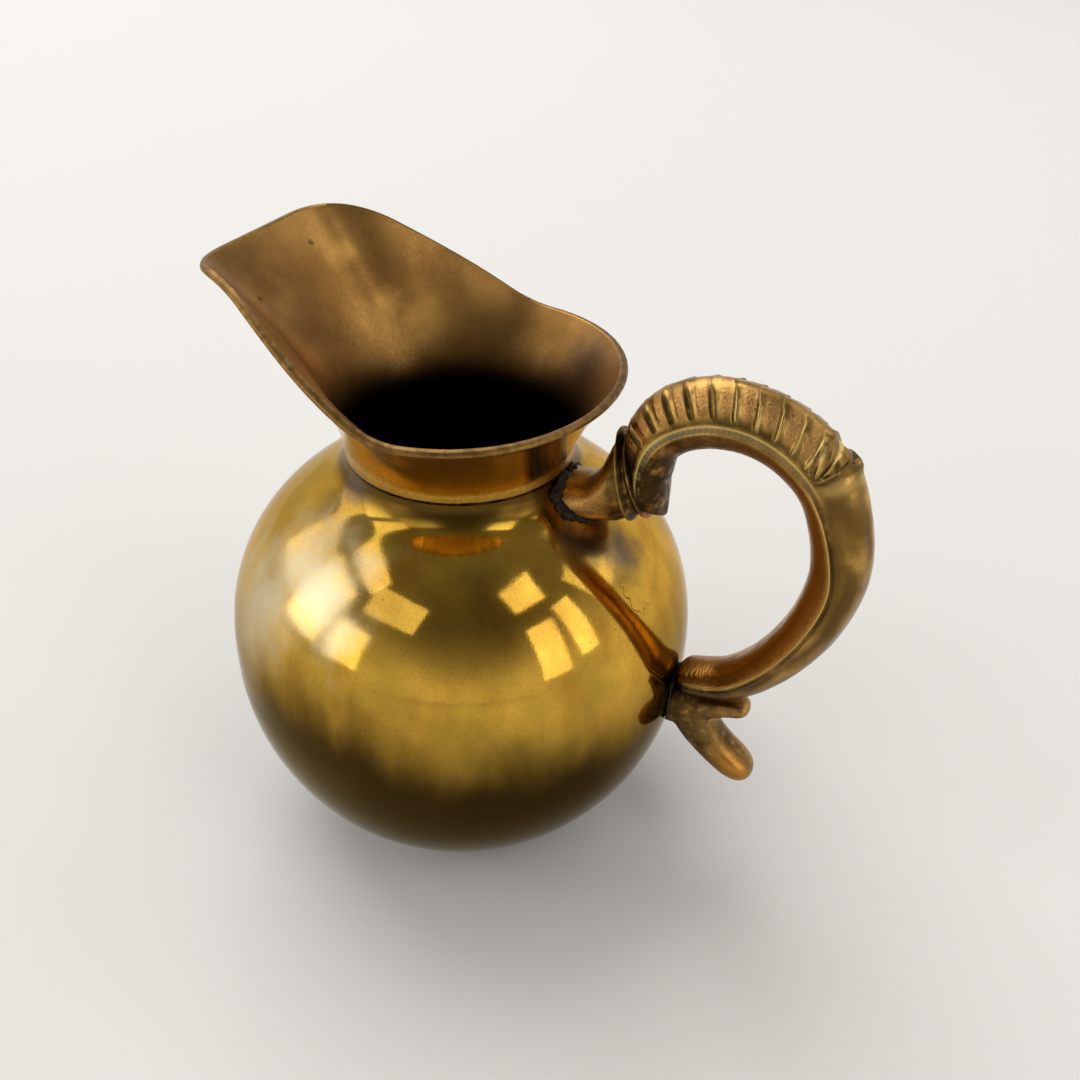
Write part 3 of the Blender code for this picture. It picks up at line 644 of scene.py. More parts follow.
def solder_finish(colours):
    """Soft solder, left as it set: dark grey, pitted, with black flux in its hollows."""
    made, tree, shader, spot = finish_tree("solder_tin_lead_pitted", 0.6)
    lumps = mottle(tree, spot, 1.2, 0.36, 0.64, 4.0)
    base = coats(tree, colours.soot_and_shade, (lumps, colours.solder, 1.0),
                 (mottle(tree, spot, 1.7, 0.60, 0.72), colours.inside_grey, 0.5))
    wire(tree, shader, base, lumps, (0.38, 0.7), mottle(tree, spot, 0.5, 0.3, 0.7, 4.0), 0.12)
    return made


def studio_paper(colours):
    """Matt paper of the studio floor: one pale tone, smooth at the scale of the picture."""
    made, _, shader, _ = finish_tree("paper_matt_studio", 0.0)
    shader.inputs["Base Color"].default_value = (*colours.floor, 1.0)
    shader.inputs["Roughness"].default_value = 0.9
    shader.inputs["Specular IOR Level"].default_value = 0.2
    return made


FINISHES = {"polished": polished_brass, "tarnished": tarnished_brass, "mouth": mouth_brass,
            "cast": cast_brass, "braze": braze, "solder": solder_finish, "paper": studio_paper}


def finish(context, name):
    """The finish of that name, made once."""
    if name not in finish.made:
        finish.made[name] = FINISHES[name](context.scene.pitcher_colours)
    return finish.made[name]


finish.made = {}


# Shape of the mouth

def rim_plan(count):
    """Rim seen from above, at even spaces from the handle side round by +Y."""
    taper = 0.42               # slope of the spout's sides towards its corners
    fullness = 0.58            # of the round part; 0.55 is a circle
    corner_run = 0.70 * LIP_CORNER
    side = (0.0, RIM_HALF_WIDTH)
    corner = (LIP_CORNER - LIP_REACH, LIP_HALF_WIDTH)
    end = (-LIP_REACH, 0.42 * LIP_HALF_WIDTH)
    curves = ([(RIM_BACK, 0.0), (RIM_BACK, RIM_HALF_WIDTH * fullness),
               (RIM_BACK * fullness, RIM_HALF_WIDTH), side],
              [side, (corner[0] * 0.36, RIM_HALF_WIDTH),
               (corner[0] * 0.66, LIP_HALF_WIDTH - corner[0] * 0.34 * taper), corner],
              [corner, (corner[0] - corner_run, corner[1] - corner_run * taper),
               (-LIP_REACH, 0.78 * LIP_HALF_WIDTH), end],
              [end, (-LIP_REACH, 0.0)])
    shares = np.linspace(0, 1, 120)
    half = evenly(np.concatenate([bezier(curve, shares[:-1]) for curve in curves]
                                 + [np.array([[-LIP_REACH, 0.0]])]), count)
    return np.concatenate([half, half[-2:0:-1] * (1, -1)])


def rim_rise(x):
    """Height of the rim: level at the handle side, a straight ramp, level at the lip."""
    bend = 0.25                # share of the ramp that each of its two bends takes
    t = np.clip((RISE_START - x) / (RISE_START + LIP_REACH - LIP_CORNER / 2), 0.0, 1.0)
    first = t * t / (2 * bend * (1 - bend))
    middle = (t - bend / 2) / (1 - bend)
    final = 1 - (1 - t) ** 2 / (2 * bend * (1 - bend))
    share = np.where(t < bend, first, np.where(t > 1 - bend, final, middle))
    return RIM_HEIGHT + (LIP_HEIGHT - RIM_HEIGHT) * share


def mouth_surface(rows, columns):
    """Outside of the neck and spout, from the seam up to the rim."""
    plan = rim_plan(columns // 2 + 1)
    angle = 2 * math.pi * np.arange(len(plan)) / len(plan)
    toward_spout = (1 - np.cos(angle)) / 2
    straight = 0.10 - 0.06 * toward_spout      # share of the height that stays upright
    power = 1.35 + 0.15 * toward_spout         # how late the flare opens
    bottom = BRAZE_HIGH.z
    up = (np.linspace(0, 1, rows) ** 0.9)[:, None]
    flare = (np.clip(up - straight, 0, None) / (1 - straight)) ** power
    neck = NECK_RADIUS * np.stack([np.cos(angle), np.sin(angle)], axis=1)
    x = neck[:, 0] + (plan[:, 0] - neck[:, 0]) * flare
    y = neck[:, 1] + (plan[:, 1] - neck[:, 1]) * flare
    z = bottom + (rim_rise(plan[:, 0]) - bottom) * up
    leaning = 0.9 * MM * ease(-(x + 4 * MM) / (36 * MM)) * up
    return np.stack([x, y + leaning, z], axis=2)


def lathed(section, steps):
    """Rings of points from a section of (radius, height) turned round the axis."""
    angle = 2 * math.pi * np.arange(steps) / steps
    radius, height = section[:, 0][:, None], section[:, 1][:, None]
    return np.stack([radius * np.cos(angle), radius * np.sin(angle),
                     np.broadcast_to(height, (len(section), steps))], axis=2)


class PITCHER_OT_belly(Operator):
    """Make the spun belly with its wall and its slightly uneven, hand-worked outside"""
    bl_idname = "pitcher.belly"
    bl_label = "Belly"

    def execute(self, context):
        sizes = context.scene.pitcher_sizes
        outline = belly_outline(190)
        inner = inward(outline, sizes.wall)[::2][::-1]
        inner = inner[inner[:, 1] > DISC_TOP + 0.1 * MM]
        inner[-1, 1] = SEAM_HEIGHT
        seat = BASE_RADIUS - sizes.wall
        section = np.concatenate([outline, [(seat, 0.0), (seat, DISC_TOP)], inner])
        grid = lathed(section, 288)
        height = section[:, 1][:, None]
        outside = (np.arange(len(section)) < len(outline))[:, None]
        free = outside * ease(height / (6 * MM)) * ease((SEAM_HEIGHT - height) / (8 * MM))
        uneven = grain(grid, 24 * MM, 3) * 0.75 + grain(grid, 8 * MM, 5) * 0.12
        scale = 1 + free * uneven * sizes.unevenness / BELLY_RADIUS
        grid[:, :, :2] *= scale[:, :, None]
        # Painted shade: the belly's whole inside is marked to be painted black
        piece = skin("belly", grid, finish(context, "polished"),
                     loop_rows=True, inner_rows=(len(outline) + 2, len(section)),
                     inner=finish(context, "tarnished"),
                     marks={"painted_inside_shade": np.broadcast_to(1.0 - outside, grid.shape[:2])})
        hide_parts("belly_shell")
        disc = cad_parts["base_disc"]
        disc.data.materials.clear()
        disc.data.materials.append(finish(context, "polished"))
        return {"FINISHED"}


class PITCHER_OT_mouth(Operator):
    """Make the flared neck with its open spout, its filed rim and the brazed seam below it"""
    bl_idname = "pitcher.mouth"
    bl_label = "Neck and spout"

    def execute(self, context):
        sizes = context.scene.pitcher_sizes
        outer = mouth_surface(64, 320)
        normals = grid_normals(outer)
        if (normals[0, 0] * outer[0, 0]).sum() < 0:
            normals = -normals
        run = np.linalg.norm(outer - outer[-1], axis=2)
        roll = bump(run, 1.5 * MM)[:, :, None] * sizes.rim_roll
        outer = outer + normals * roll
        inner = outer - normals * (sizes.wall + roll * 1.5)
        edge = self.filed_edge(outer, inner)
        outer[-1, :, 2] -= RIM_FILED / 2
        inner[-1, :, 2] -= RIM_FILED / 2
        grid = np.concatenate([outer, edge, inner[::-1]])
        rows, none = len(outer), np.zeros(edge.shape[:2])
        rim = np.concatenate([bump(run, 0.55 * MM), none + 1, bump(run, 0.8 * MM)[::-1]])
        # Dark line just under the rim: partly tarnish, partly painted shadow
        under = np.concatenate([bump(run - 1.2 * MM, 0.55 * MM), none, np.zeros(run.shape)])
        height = grid[:, :, 2]
        # Painted shade: the inside is painted black below THROAT_DARK, fading out by THROAT_CLEAR
        marks = {"rim": rim, "tarnish_and_shade_under_rim": under,
                 "painted_inside_shade": 1 - ease((height - THROAT_DARK) / (THROAT_CLEAR - THROAT_DARK)),
                 "foot": 1 - ease((height - SEAM_HEIGHT) / (5 * MM))}
        piece = skin("neck_and_spout", grid, finish(context, "mouth"),
                     loop_rows=True, inner_rows=(rows + len(edge) + 1, len(grid) - 1),
                     inner=finish(context, "tarnished"), marks=marks)
        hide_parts("neck_spout")
        self.seam(context)
        return {"FINISHED"}

    def filed_edge(self, outer, inner):
        """Rounded edge between the last rings outside and inside."""
        top, back = outer[-1], inner[-1]
        along = outer[-1] - outer[-2]
        along /= np.linalg.norm(along, axis=1, keepdims=True)
        thick = np.linalg.norm(top - back, axis=1, keepdims=True) / 2
        edge = np.stack([(top + back) / 2 + (top - back) / 2 * math.cos(a)
                         + along * (thick * 0.8 * math.sin(a))
                         for a in np.radians([28, 60, 90, 120, 152])])
        edge[:, :, 2] -= RIM_FILED
        return edge

    def seam(self, context):
        """Uneven bead of braze round the foot of the neck."""
        low, high = SEAM_HEIGHT - 0.05 * MM, BRAZE_HIGH.z + 0.05 * MM
        inside = NECK_RADIUS - context.scene.pitcher_sizes.wall
        middle, half = (low + high) / 2, (high - low) / 2
        turn = np.linspace(-math.pi / 2, math.pi / 2, 9)
        bead = NECK_RADIUS + 0.03 * MM * (np.cos(turn) - 0.5)
        section = np.concatenate([np.stack([bead, middle + half * np.sin(turn)], axis=1),
                                  [(inside, high), (inside, low)]])
        grid = lathed(section, 240)
        outside = (np.arange(len(section)) < len(turn))[:, None]
        rough = outside * grain(grid, 1.6 * MM, 2) * 0.05 * MM
        grid[:, :, :2] *= (1 + rough / NECK_RADIUS)[:, :, None]
        # Painted shade: the inside of the seam is painted black
        piece = skin("neck_seam", grid, finish(context, "braze"), loop_rows=True,
                     inner_rows=(len(turn) - 1, len(section)), inner=finish(context, "tarnished"),
                     marks={"painted_inside_shade": np.ones(grid.shape[:2])})
        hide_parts("neck_braze")


# Shape of the handle's collar and stem

def oval(centre, up, half_wide, half_tall, count, power=0.9):
    """Ring of points across Y and up; a power under 1 squares it a little."""
    angle = 2 * math.pi * np.arange(count) / count
    wide, tall = (np.sign(turn) * np.abs(turn) ** power * half
                  for turn, half in ((np.cos(angle), half_wide), (np.sin(angle), half_tall)))
    return np.array(centre) + np.outer(wide, (0.0, 1.0, 0.0)) + np.outer(tall, up)


def collar_frame(share):
    """Centre of the collar at a share of its thickness, its normal and its long direction."""
    along = Vector((math.cos(COLLAR_TILT), 0.0, math.sin(COLLAR_TILT)))
    tilt = COLLAR_TILT + COLLAR_WEDGE * (share - 0.5)
    normal = Vector((math.cos(tilt), 0.0, math.sin(tilt)))
    up = Vector((-math.sin(tilt), 0.0, math.cos(tilt)))
    return COLLAR_CENTRE + along * COLLAR_THICK * (share - 0.5), normal, up


class PITCHER_OT_collar(Operator):
    """Make the hollow-sided cuff between the stem and the horn"""
    bl_idname = "pitcher.collar"
    bl_label = "Collar"

    def execute(self, context):
        count = 120
        shares = np.linspace(-0.06, 1.06, 40)[:, None]
        angle = 2 * math.pi * np.arange(count) / count
        grid = np.array([self.ring(share, angle) for share in shares[:, 0]])
        grid += grid_normals(grid) * (grain(grid, 2.2 * MM, 4) * 0.12 * MM)[:, :, None]
        everywhere = np.ones(grid.shape[:2])
        bottom = ease((-np.sin(angle) - 0.5) / 0.3)
        faces = bump(shares, 0.05) + bump(shares - 1.0, 0.05)
        lips = (bump(shares - COLLAR_BACK_LIP, 0.05) * 0.35
                + bump(shares - COLLAR_FRONT_LIP, 0.05) * 0.2)
        marks = {"dark": (0.85 + 0.15 * bump(shares - 0.5, 0.3)) * everywhere,
                 "bright": lips * everywhere, "copper": bottom * faces}
        piece = skin("handle_collar_cuff", grid, finish(context, "cast"),
                     marks=marks)
        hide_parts("handle_collar")
        return {"FINISHED"}

    def ring(self, share, angle):
        """Ring at a share of the thickness: a lip at each face, an ear on top of the back one."""
        centre, normal, up = collar_frame(share)
        back, front = bump(share - COLLAR_BACK_LIP, 0.16), bump(share - COLLAR_FRONT_LIP, 0.12)
        hollow = 0.9 * MM * bump(share - 0.55, 0.26)
        ends = 0.6 * MM * (bump(share + 0.08, 0.07) + bump(share - 1.08, 0.07))
        shrink = 0.3 * MM * (1 - min(back + front, 1.0)) + hollow + ends - 0.35 * MM * back
        ring = oval(centre, up, COLLAR_WIDE / 2 - shrink, COLLAR_TALL / 2 - shrink, len(angle))
        top = bump(angle - math.pi / 2, 0.55)
        ear = (0.6 * MM * back + 0.4 * MM * bump(share - 0.5, 0.35)) * top
        return ring + np.outer(ear, up) - np.outer(0.5 * MM * back * top, normal)


def stem_grid(rows, count):
    """Rings of the stem from the shoulder to the collar: level, then spread to it."""
    centre, normal, up = collar_frame(0.0)
    end = centre - normal * 0.1 * MM
    reach = (end - STEM_ROOT).length
    rising = Vector((1.0, 0.0, 1.0)).normalized()
    bend = [STEM_ROOT, STEM_ROOT + Vector((0.55 * reach, 0.0, 0.0)), end - rising * 0.3 * reach,
            end]
    shares = np.linspace(0, 1, rows)
    root = np.clip(1 - shares / 0.55, 0, None) ** 2
    spread = ease((shares - 0.22) / 0.75)
    sizes = []
    for at_root, waist, at_end in (STEM_WIDE, STEM_TALL):
        size = waist + (at_root - waist) * root
        sizes.append(size + (at_end - size) * spread)
    rings = []
    for t, middle, w, h in zip(ease(shares), bezier(bend, shares), *sizes):
        lean = Vector((0.0, 0.0, 1.0)).lerp(up, t).normalized()
        rings.append(oval(middle, lean, w / 2, h / 2, count))
    return np.array(rings), shares


class PITCHER_OT_stem(Operator):
    """Make the trumpet-shaped stem that carries the collar, and the solder round its root"""
    bl_idname = "pitcher.stem"
    bl_label = "Stem and its solder"

    def execute(self, context):
        grid, shares = stem_grid(90, 128)
        grid += grid_normals(grid) * (grain(grid, 3.5 * MM, 8) * 0.10 * MM)[:, :, None]
        grid, sunk = off_wall(grid, 0.15 * MM)
        share = np.broadcast_to(shares[:, None], grid.shape[:2])
        side = np.abs(grid[:, :, 1]) / (COLLAR_WIDE / 2)
        # Painted shade: low darkens the stem's underside, which is also left smoother
        low = ease((STEM_ROOT.z - 2.8 * MM + 6 * MM * share - grid[:, :, 2]) / (1.2 * MM))
        dark = 0.6 * bump(share, 0.10) + 0.75 * ease((share - 0.62) / 0.25) + 0.45 * low
        rough = (1 - ease((share - 0.55) / 0.3)) * (1 - 0.6 * low) * ease((side - 0.1) / 0.5)
        piece = skin("handle_stem_trumpet", grid, finish(context, "cast"),
                     marks={"dark": np.clip(dark, 0, 1), "cell": 0.65 * rough,
                            "copper": bump(1 - share, 0.02) * low})
        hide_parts("handle_stem")
        self.solder(context, grid, sunk)
        return {"FINISHED"}

    def solder(self, context, grid, sunk):
        """Lumpy bead where the stem meets the wall, thick on the side that the picture shows."""
        first_free = np.argmin(sunk, axis=0)
        path = grid[first_free, np.arange(grid.shape[1])]
        angle = 2 * math.pi * np.arange(len(path)) / len(path)
        thick = bump(((angle + 0.5) % (2 * math.pi)) - math.pi, 1.0)
        bead = solder_bead(path, (0.35 + 1.15 * thick) * MM, 1.0 * MM, 11)
        piece = skin("stem_solder_bead", bead, finish(context, "solder"), loop_rows=True)
        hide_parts("stem_solder")


def solder_bead(path, radius, lumps, seed):
    """Lumpy tube along a closed path on the wall; radius may differ along the path."""
    closed = np.column_stack([path, np.broadcast_to(radius, len(path))])
    path = evenly(np.concatenate([closed, closed[:1]]), 201)[:-1]
    path, radius = path[:, :3], path[:, 3][:, None]
    along = np.roll(path, -1, axis=0) - np.roll(path, 1, axis=0)
    along /= np.linalg.norm(along, axis=1, keepdims=True)
    out = path * (1.0, 1.0, 0.35)
    out = out / np.linalg.norm(out, axis=1, keepdims=True)
    out -= along * (out * along).sum(axis=1, keepdims=True)
    out /= np.linalg.norm(out, axis=1, keepdims=True)
    side = np.cross(along, out)
    turn = 2 * math.pi * np.arange(28) / 28
    ring = (out[:, None, :] * np.cos(turn)[None, :, None] * 0.75
            + side[:, None, :] * np.sin(turn)[None, :, None])
    centre = path[:, None, :]
    coarse = grain(np.broadcast_to(centre, ring.shape), 1.9 * MM, seed)
    fine = grain(centre + ring * radius[:, :, None], 0.8 * MM, seed + 1)
    swell = radius + lumps * (np.minimum(radius / MM, 1.0) * coarse + 0.6 * fine)
    return centre + ring * swell[:, :, None]


# Shape of the horn

# Places round its half section, counted in corner points from the inner crown at 0
FLAT_END = 3.4                 # edge of the smooth inner face
BAND_START = 3.75              # beaded band, from here
BAND_END = 4.85                # to here
SIDE_START = 5.2               # the side begins to bulge
RIB_FOOT = 5.6                 # lower ends of the ribs
RIDGE = 9.0                    # outer ridge

# Places along it
FIRST_RIB = 17.0 * MM          # first groove
BAND_FADE = 46 * MM            # the beads end over the next 10 mm
STEP_PLACE = 51.6 * MM         # step at the end of the ribs, on the ridge
STEP_SLANT = 1.9 * MM          # how much nearer it is at the ribs' lower ends
STAR_PLACE = 50.6 * MM         # middle of the star of facets before the step
TIP_CLOSE = 4.6 * MM           # the curled tip rounds off over this length
BLUNT_CLOSE = 2.4 * MM         # and the blunt tip over this one


def horn_station(rows):
    """Middle of the horn across and up, and its outer, inner and half side reach, at rows."""
    across, rise, outer, inner, wide = catmull(HORN_STATIONS, rows).T
    x = HORN_TIP.x + (COLLAR_CENTRE.x - HORN_TIP.x) * rise + HORN_REACH * across
    z = HORN_TIP.z + (COLLAR_CENTRE.z - HORN_TIP.z) * rise
    return x, z, HORN_OUTER * outer, HORN_INNER * inner, HORN_WIDE / 2 * wide


class PITCHER_OT_horn(Operator):
    """Make the cast horn with its fluted ribs, beaded edge, carved step and smooth tail"""
    bl_idname = "pitcher.horn"
    bl_label = "Horn"

    def execute(self, context):
        sizes = context.scene.pitcher_sizes
        last = len(HORN_STATIONS) - 1
        rows = np.linspace(0, last, 2001)
        x, z, *_ = horn_station(rows)
        run = np.concatenate([[0.0], np.cumsum(np.hypot(np.diff(x), np.diff(z)))])
        end = run[-1]
        curl, blunt = (np.linspace(0, math.pi / 2, count) for count in (16, 12))
        stops = np.concatenate([TIP_CLOSE * (1 - np.cos(curl)),
                                np.linspace(TIP_CLOSE, end - BLUNT_CLOSE, 900)[1:],
                                end - BLUNT_CLOSE * (1 - np.sin(blunt))[1:]])
        row = np.interp(stops, run, rows)
        x, z, outer, inner, half = horn_station(row)
        ahead, behind = (horn_station(np.clip(row + step, 0, last)) for step in (0.05, -0.05))
        along = np.stack([ahead[0] - behind[0], ahead[1] - behind[1]], axis=1)
        along /= np.linalg.norm(along, axis=1, keepdims=True)
        swell = ease((stops - end + 8 * MM) / (8 * MM))
        outer, half = outer * (1 + 0.40 * swell), half * (1 + 0.12 * swell)
        x = x - TIP_GAP * ease((stops - end + 9 * MM) / (9 * MM))
        close = np.clip(np.minimum(stops / TIP_ROUNDING, (end - stops) / BLUNT_ROUNDING), 0, 1)
        taper = np.maximum(np.sqrt(1 - (1 - close) ** 2), 0.04)
        section, turn = self.section(outer * taper, inner * taper, half * taper)
        lift, marks = self.carving(sizes, stops[:, None], turn[None, :], end, taper[:, None])
        tangent = np.gradient(section, axis=1)
        normal = np.stack([tangent[:, :, 1], -tangent[:, :, 0]], axis=2)
        normal /= np.maximum(np.linalg.norm(normal, axis=2, keepdims=True), SMALL)
        section = section + normal * lift[:, :, None]
        out, side = section[:, :, 0], section[:, :, 1]
        side[:, (0, -1)] = 0.0
        out = np.concatenate([out, out[:, -2:0:-1]], axis=1)
        side = np.concatenate([side, -side[:, -2:0:-1]], axis=1)
        marks = {name: np.concatenate([v, v[:, -2:0:-1]], axis=1) for name, v in marks.items()}
        grid = np.stack([x[:, None] - along[:, 1][:, None] * out, side,
                         z[:, None] + along[:, 0][:, None] * out], axis=2)
        grid += grid_normals(grid) * (grain(grid, 3.0 * MM, 6) * 0.05 * MM)[:, :, None]
        grid = off_wall(self.off_collar(grid), 0.12 * MM)[0]
        piece = skin("horn_ribbed", grid, finish(context, "cast"), marks=marks)
        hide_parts("horn")
        return {"FINISHED"}

    def off_collar(self, grid):
        """Push the points near the collar out of its front face."""
        centre, face, _ = collar_frame(1.0)
        behind = ((grid - np.array(centre + face * 0.1 * MM)) * np.array(face)).sum(axis=2)
        near = np.linalg.norm(grid - np.array(centre), axis=2) < COLLAR_TALL
        push = np.where(near, np.minimum(behind, 0.0), 0.0)
        return grid - np.array(face) * push[:, :, None]

    def section(self, outer, inner, half):
        """Half sections from the inner crown round the edge to the outer ridge.

        Points are (distance outwards, distance sideways); turn counts the corner
        points from 0 at the inner crown to RIDGE.
        """
        bead = np.minimum(1.4 * MM, outer * 0.4)
        rest = outer - bead
        corners = np.array([
            (-inner, 0 * half), (-inner * 0.93, half * 0.36), (-inner * 0.66, half * 0.70),
            (-inner * 0.16, half * 0.97), (bead * 0.3, half), (bead, half * 0.97),
            (bead + rest * 0.30, half * 0.86), (bead + rest * 0.72, half * 0.60),
            (outer * 0.95, half * 0.26), (outer, 0 * half)])
        turn = np.linspace(0, RIDGE, 61)
        weights = catmull(np.eye(len(corners)), turn)
        return np.einsum("tk,kcs->stc", weights, corners), turn

    def carving(self, sizes, s, k, end, body):
        """How far the carving lifts or sinks each point, and what the finish reads.

        s is the place along the horn, k the place round it and body the closing of the tips.
        """
        high = np.clip((k - RIB_FOOT) / (RIDGE - RIB_FOOT), 0, 1)
        foot = ease((s - end + 14 * MM) / (12 * MM))
        ribs, rib_dark, cell, rib_bright = self.ribs(sizes, s, k, high)
        step, step_dark, step_bright = self.step(s, k, high)
        edge, edge_dark, edge_bright, bead = self.edge(sizes, s, k, body, foot)
        spots = np.stack(np.broadcast_arrays(s / (9 * MM), k * 0.8, 0.0), axis=2)
        streak = (0.6 + 1.2 * grain(spots, 1.0, 9) + 0.25 * grain(spots * (1, 3, 1), 1.0, 10))
        tail = ease((s - 44 * MM) / (12 * MM)) * (1 - 0.75 * bump(k - RIDGE, 0.8))
        inner_face = (1 - ease((k - FLAT_END) / 0.3)) * np.ones_like(s)
        # Painted shade: shade darkens the inner face towards the curled tip, and tip paints the
        # curled tip dark all round
        shade = (1 - ease((s - 12 * MM) / (50 * MM))) * inner_face
        tip = 1 - ease((s - 11 * MM) / (8 * MM))
        dark = rib_dark + step_dark + edge_dark + 0.95 * shade + tip + 0.5 * foot * (k > FLAT_END)
        marks = {
            "dark": np.clip(dark, 0, 1),
            "cell": np.clip(cell, 0, 1),
            "bright": np.clip(rib_bright + step_bright + edge_bright, 0, 1),
            "bead": bead,
            "inner_face": inner_face * (1 - 0.5 * shade),
            "streak": np.clip(streak, 0, 1) * tail,
        }
        return ribs + step + edge, marks

    def ribs(self, sizes, s, k, high):
        """Ribs over the top: narrow grooves and hollow cells at first, soft flutes later on.

        Gives the lift, and how dark, how much of a rough cell and how bright each point is.
        """
        place = (s - FIRST_RIB) / sizes.rib_pitch
        place = place - np.clip(place, 0, sizes.rib_count - 1) * (1 - high) * 0.1
        number = np.floor(place)
        share = place - number
        there = ease((place + 0.9) / 0.5) * ease((sizes.rib_count - 0.2 - place) / 0.5)
        early = 1 - ease((number - 3.0) / 3.0)
        late = 1 - early
        over = (ease((k - RIB_FOOT + 0.15 * late) / 0.5) * (1 - 0.85 * ease((k - 6.9) / 1.4)))
        carved = there * over
        groove = (bump(np.minimum(share, 1 - share), 0.085) * early * 1.25
                  + bump(share - 0.95, 0.07) * late * 0.7)
        flute = (ease((share - 0.34) / 0.14) * (1 - ease((share - 0.88) / 0.08)) * early
                 + ease((share - 0.12) / 0.35) * (1 - ease((share - 0.84) / 0.14)) * late)
        ridge = bump(share - 0.22, 0.10) * early * 0.25 + bump(share - 0.06, 0.08) * late
        low_end = ease((k - RIB_FOOT - 0.15 - 0.3 * np.abs(np.cos(share * math.pi))) / 0.6)
        sunk = (0.55 - 0.25 * early) * flute * low_end + groove
        lift = carved * (0.10 * MM * ridge - sizes.rib_depth * sunk)
        return (lift, 1.2 * groove * carved * (0.55 + 0.45 * early), carved * flute * low_end,
                carved * ridge * (1 - 0.6 * early))

    def step(self, s, k, high):
        """Step down at the end of the ribs, the star of facets before it and creases behind.

        Gives the lift, and how dark and how bright each point is.
        """
        after = (s - STEP_PLACE + (1 - high) * STEP_SLANT) / MM
        before = after < 0.1
        side = ease(k - SIDE_START)
        back = np.maximum((STAR_PLACE - s) / MM, 0.01)
        rise = (k - SIDE_START) * 2.1
        ray = np.arctan2(back, np.maximum(rise, 0.05))
        star = ease((s - 45.6 * MM) / (1.2 * MM)) * before * ease(np.hypot(back, rise) / 2.5) * side
        facets = np.abs(((ray * 2.1 + 0.35) % 1.0) * 2 - 1)
        past = np.maximum(after, 0)
        drop = np.where(before, 0.0, 0.95 * np.exp(-np.maximum(after - 0.1, 0) / 3.6))
        step_up = 0.40 * np.exp(np.minimum(after, 0) / 1.2) * before
        valley = 0.30 * bump(after - 0.5, 0.35)
        creases = 0.16 * np.sin(after * 2.3 + k * 1.7) * np.exp(-past / 2.2) * (after > 0.1)
        lift = star * (facets - 0.6) * 0.70 * MM + side * MM * (step_up - drop - valley + creases)
        return (lift, 0.7 * side * bump(after - 0.7, 0.55) + 0.35 * star * (1 - facets),
                star * ease((facets - 0.6) / 0.3) + 0.35 * side * bump(after - 2.4, 1.0))

    def edge(self, sizes, s, k, body, foot):
        """Beaded band between two lines, which turns into one line and a channel on the tail.

        Gives the lift, and how dark, how bright and how much of a bead each point is.
        """
        ribbed = (1 - ease((s - BAND_FADE) / (10 * MM))) * ease((s - 4 * MM) / (6 * MM))
        tail = ease((s - BAND_FADE - 2 * MM) / (8 * MM))
        band = ease((k - BAND_START) / 0.25) * (1 - ease((k - BAND_END) / 0.2))
        beads = 0.5 + 0.5 * np.cos(2 * math.pi * s / sizes.bead_pitch)
        line, recess = bump(k - 5.08, 0.13), bump(k - 5.45, 0.25)
        fine_line, channel = bump(k - BAND_START, 0.17), bump(k - 4.5, 0.40)
        hollow = bump(k - 6.4, 0.9)
        lift = body * MM * (ribbed * (band * (0.08 + 0.06 * beads) + 0.15 * line - 0.22 * recess)
                            + tail * (0.16 * fine_line - 0.24 * channel - 0.30 * hollow))
        dark = ribbed * (0.65 * recess + 0.25 * bump(k - 5.9, 0.4)) + 0.75 * tail * channel
        bright = (0.7 * ribbed * line
                  + tail * (0.8 * fine_line * (1 - foot) + 0.35 * bump(k - RIDGE, 0.6)))
        worn = 1 - 0.55 * ease((s - 26 * MM) / (14 * MM))
        return lift, dark, bright, ribbed * band * (0.78 + 0.22 * beads) * worn


# Shape of the foot

# Spots of the toe and of the spur from the foot's root (across, up), and their width and
# height there, in mm
TOE = ((-0.6, -0.2), (3.6, -1.2), (7.1, -6.4), (12.5, -11.6), (19.6, -16.3))
TOE_WIDE = (10.304, 9.936, 9.2, 9.568, 9.568)
TOE_TALL = (10.528, 10.152, 8.6, 7.0, 6.6)
SPUR = ((1.0, 0.2), (7.4, 0.6), (12.3, 2.0), (17.0, 2.9))
SPUR_WIDE = (9.0, 8.0, 6.8, 6.4)
SPUR_TALL = (6.6, 5.2, 4.0, 3.6)
TONGUE_TIP = 0.20              # share of a tongue's length over which its tip rounds off


def tongue_grid(spots, widths, talls, rows, count):
    """Tongue through a few spots in the handle's plane, with a rounded tip."""
    last = len(spots) - 1
    shares = 1 - (1 - np.linspace(0, 1, rows)) ** 1.4
    root = np.array(FOOT_ROOT)
    path = catmull([root + (x * MM, 0.0, z * MM) for x, z in spots], last * shares)
    ahead = np.gradient(path, axis=0)
    ahead /= np.linalg.norm(ahead, axis=1, keepdims=True)
    close = np.clip((1 - shares) / TONGUE_TIP, 0, 1)
    closed = np.maximum(np.sqrt(1 - (1 - close) ** 2), 0.05) * MM
    wides, talls = (catmull([(size,) for size in sizes], last * shares)[:, 0] * closed
                    for sizes in (widths, talls))
    return np.array([oval(p, (-a[2], 0.0, a[0]), w / 2, t / 2, count, 0.85)
                     for p, a, w, t in zip(path, ahead, wides, talls)])


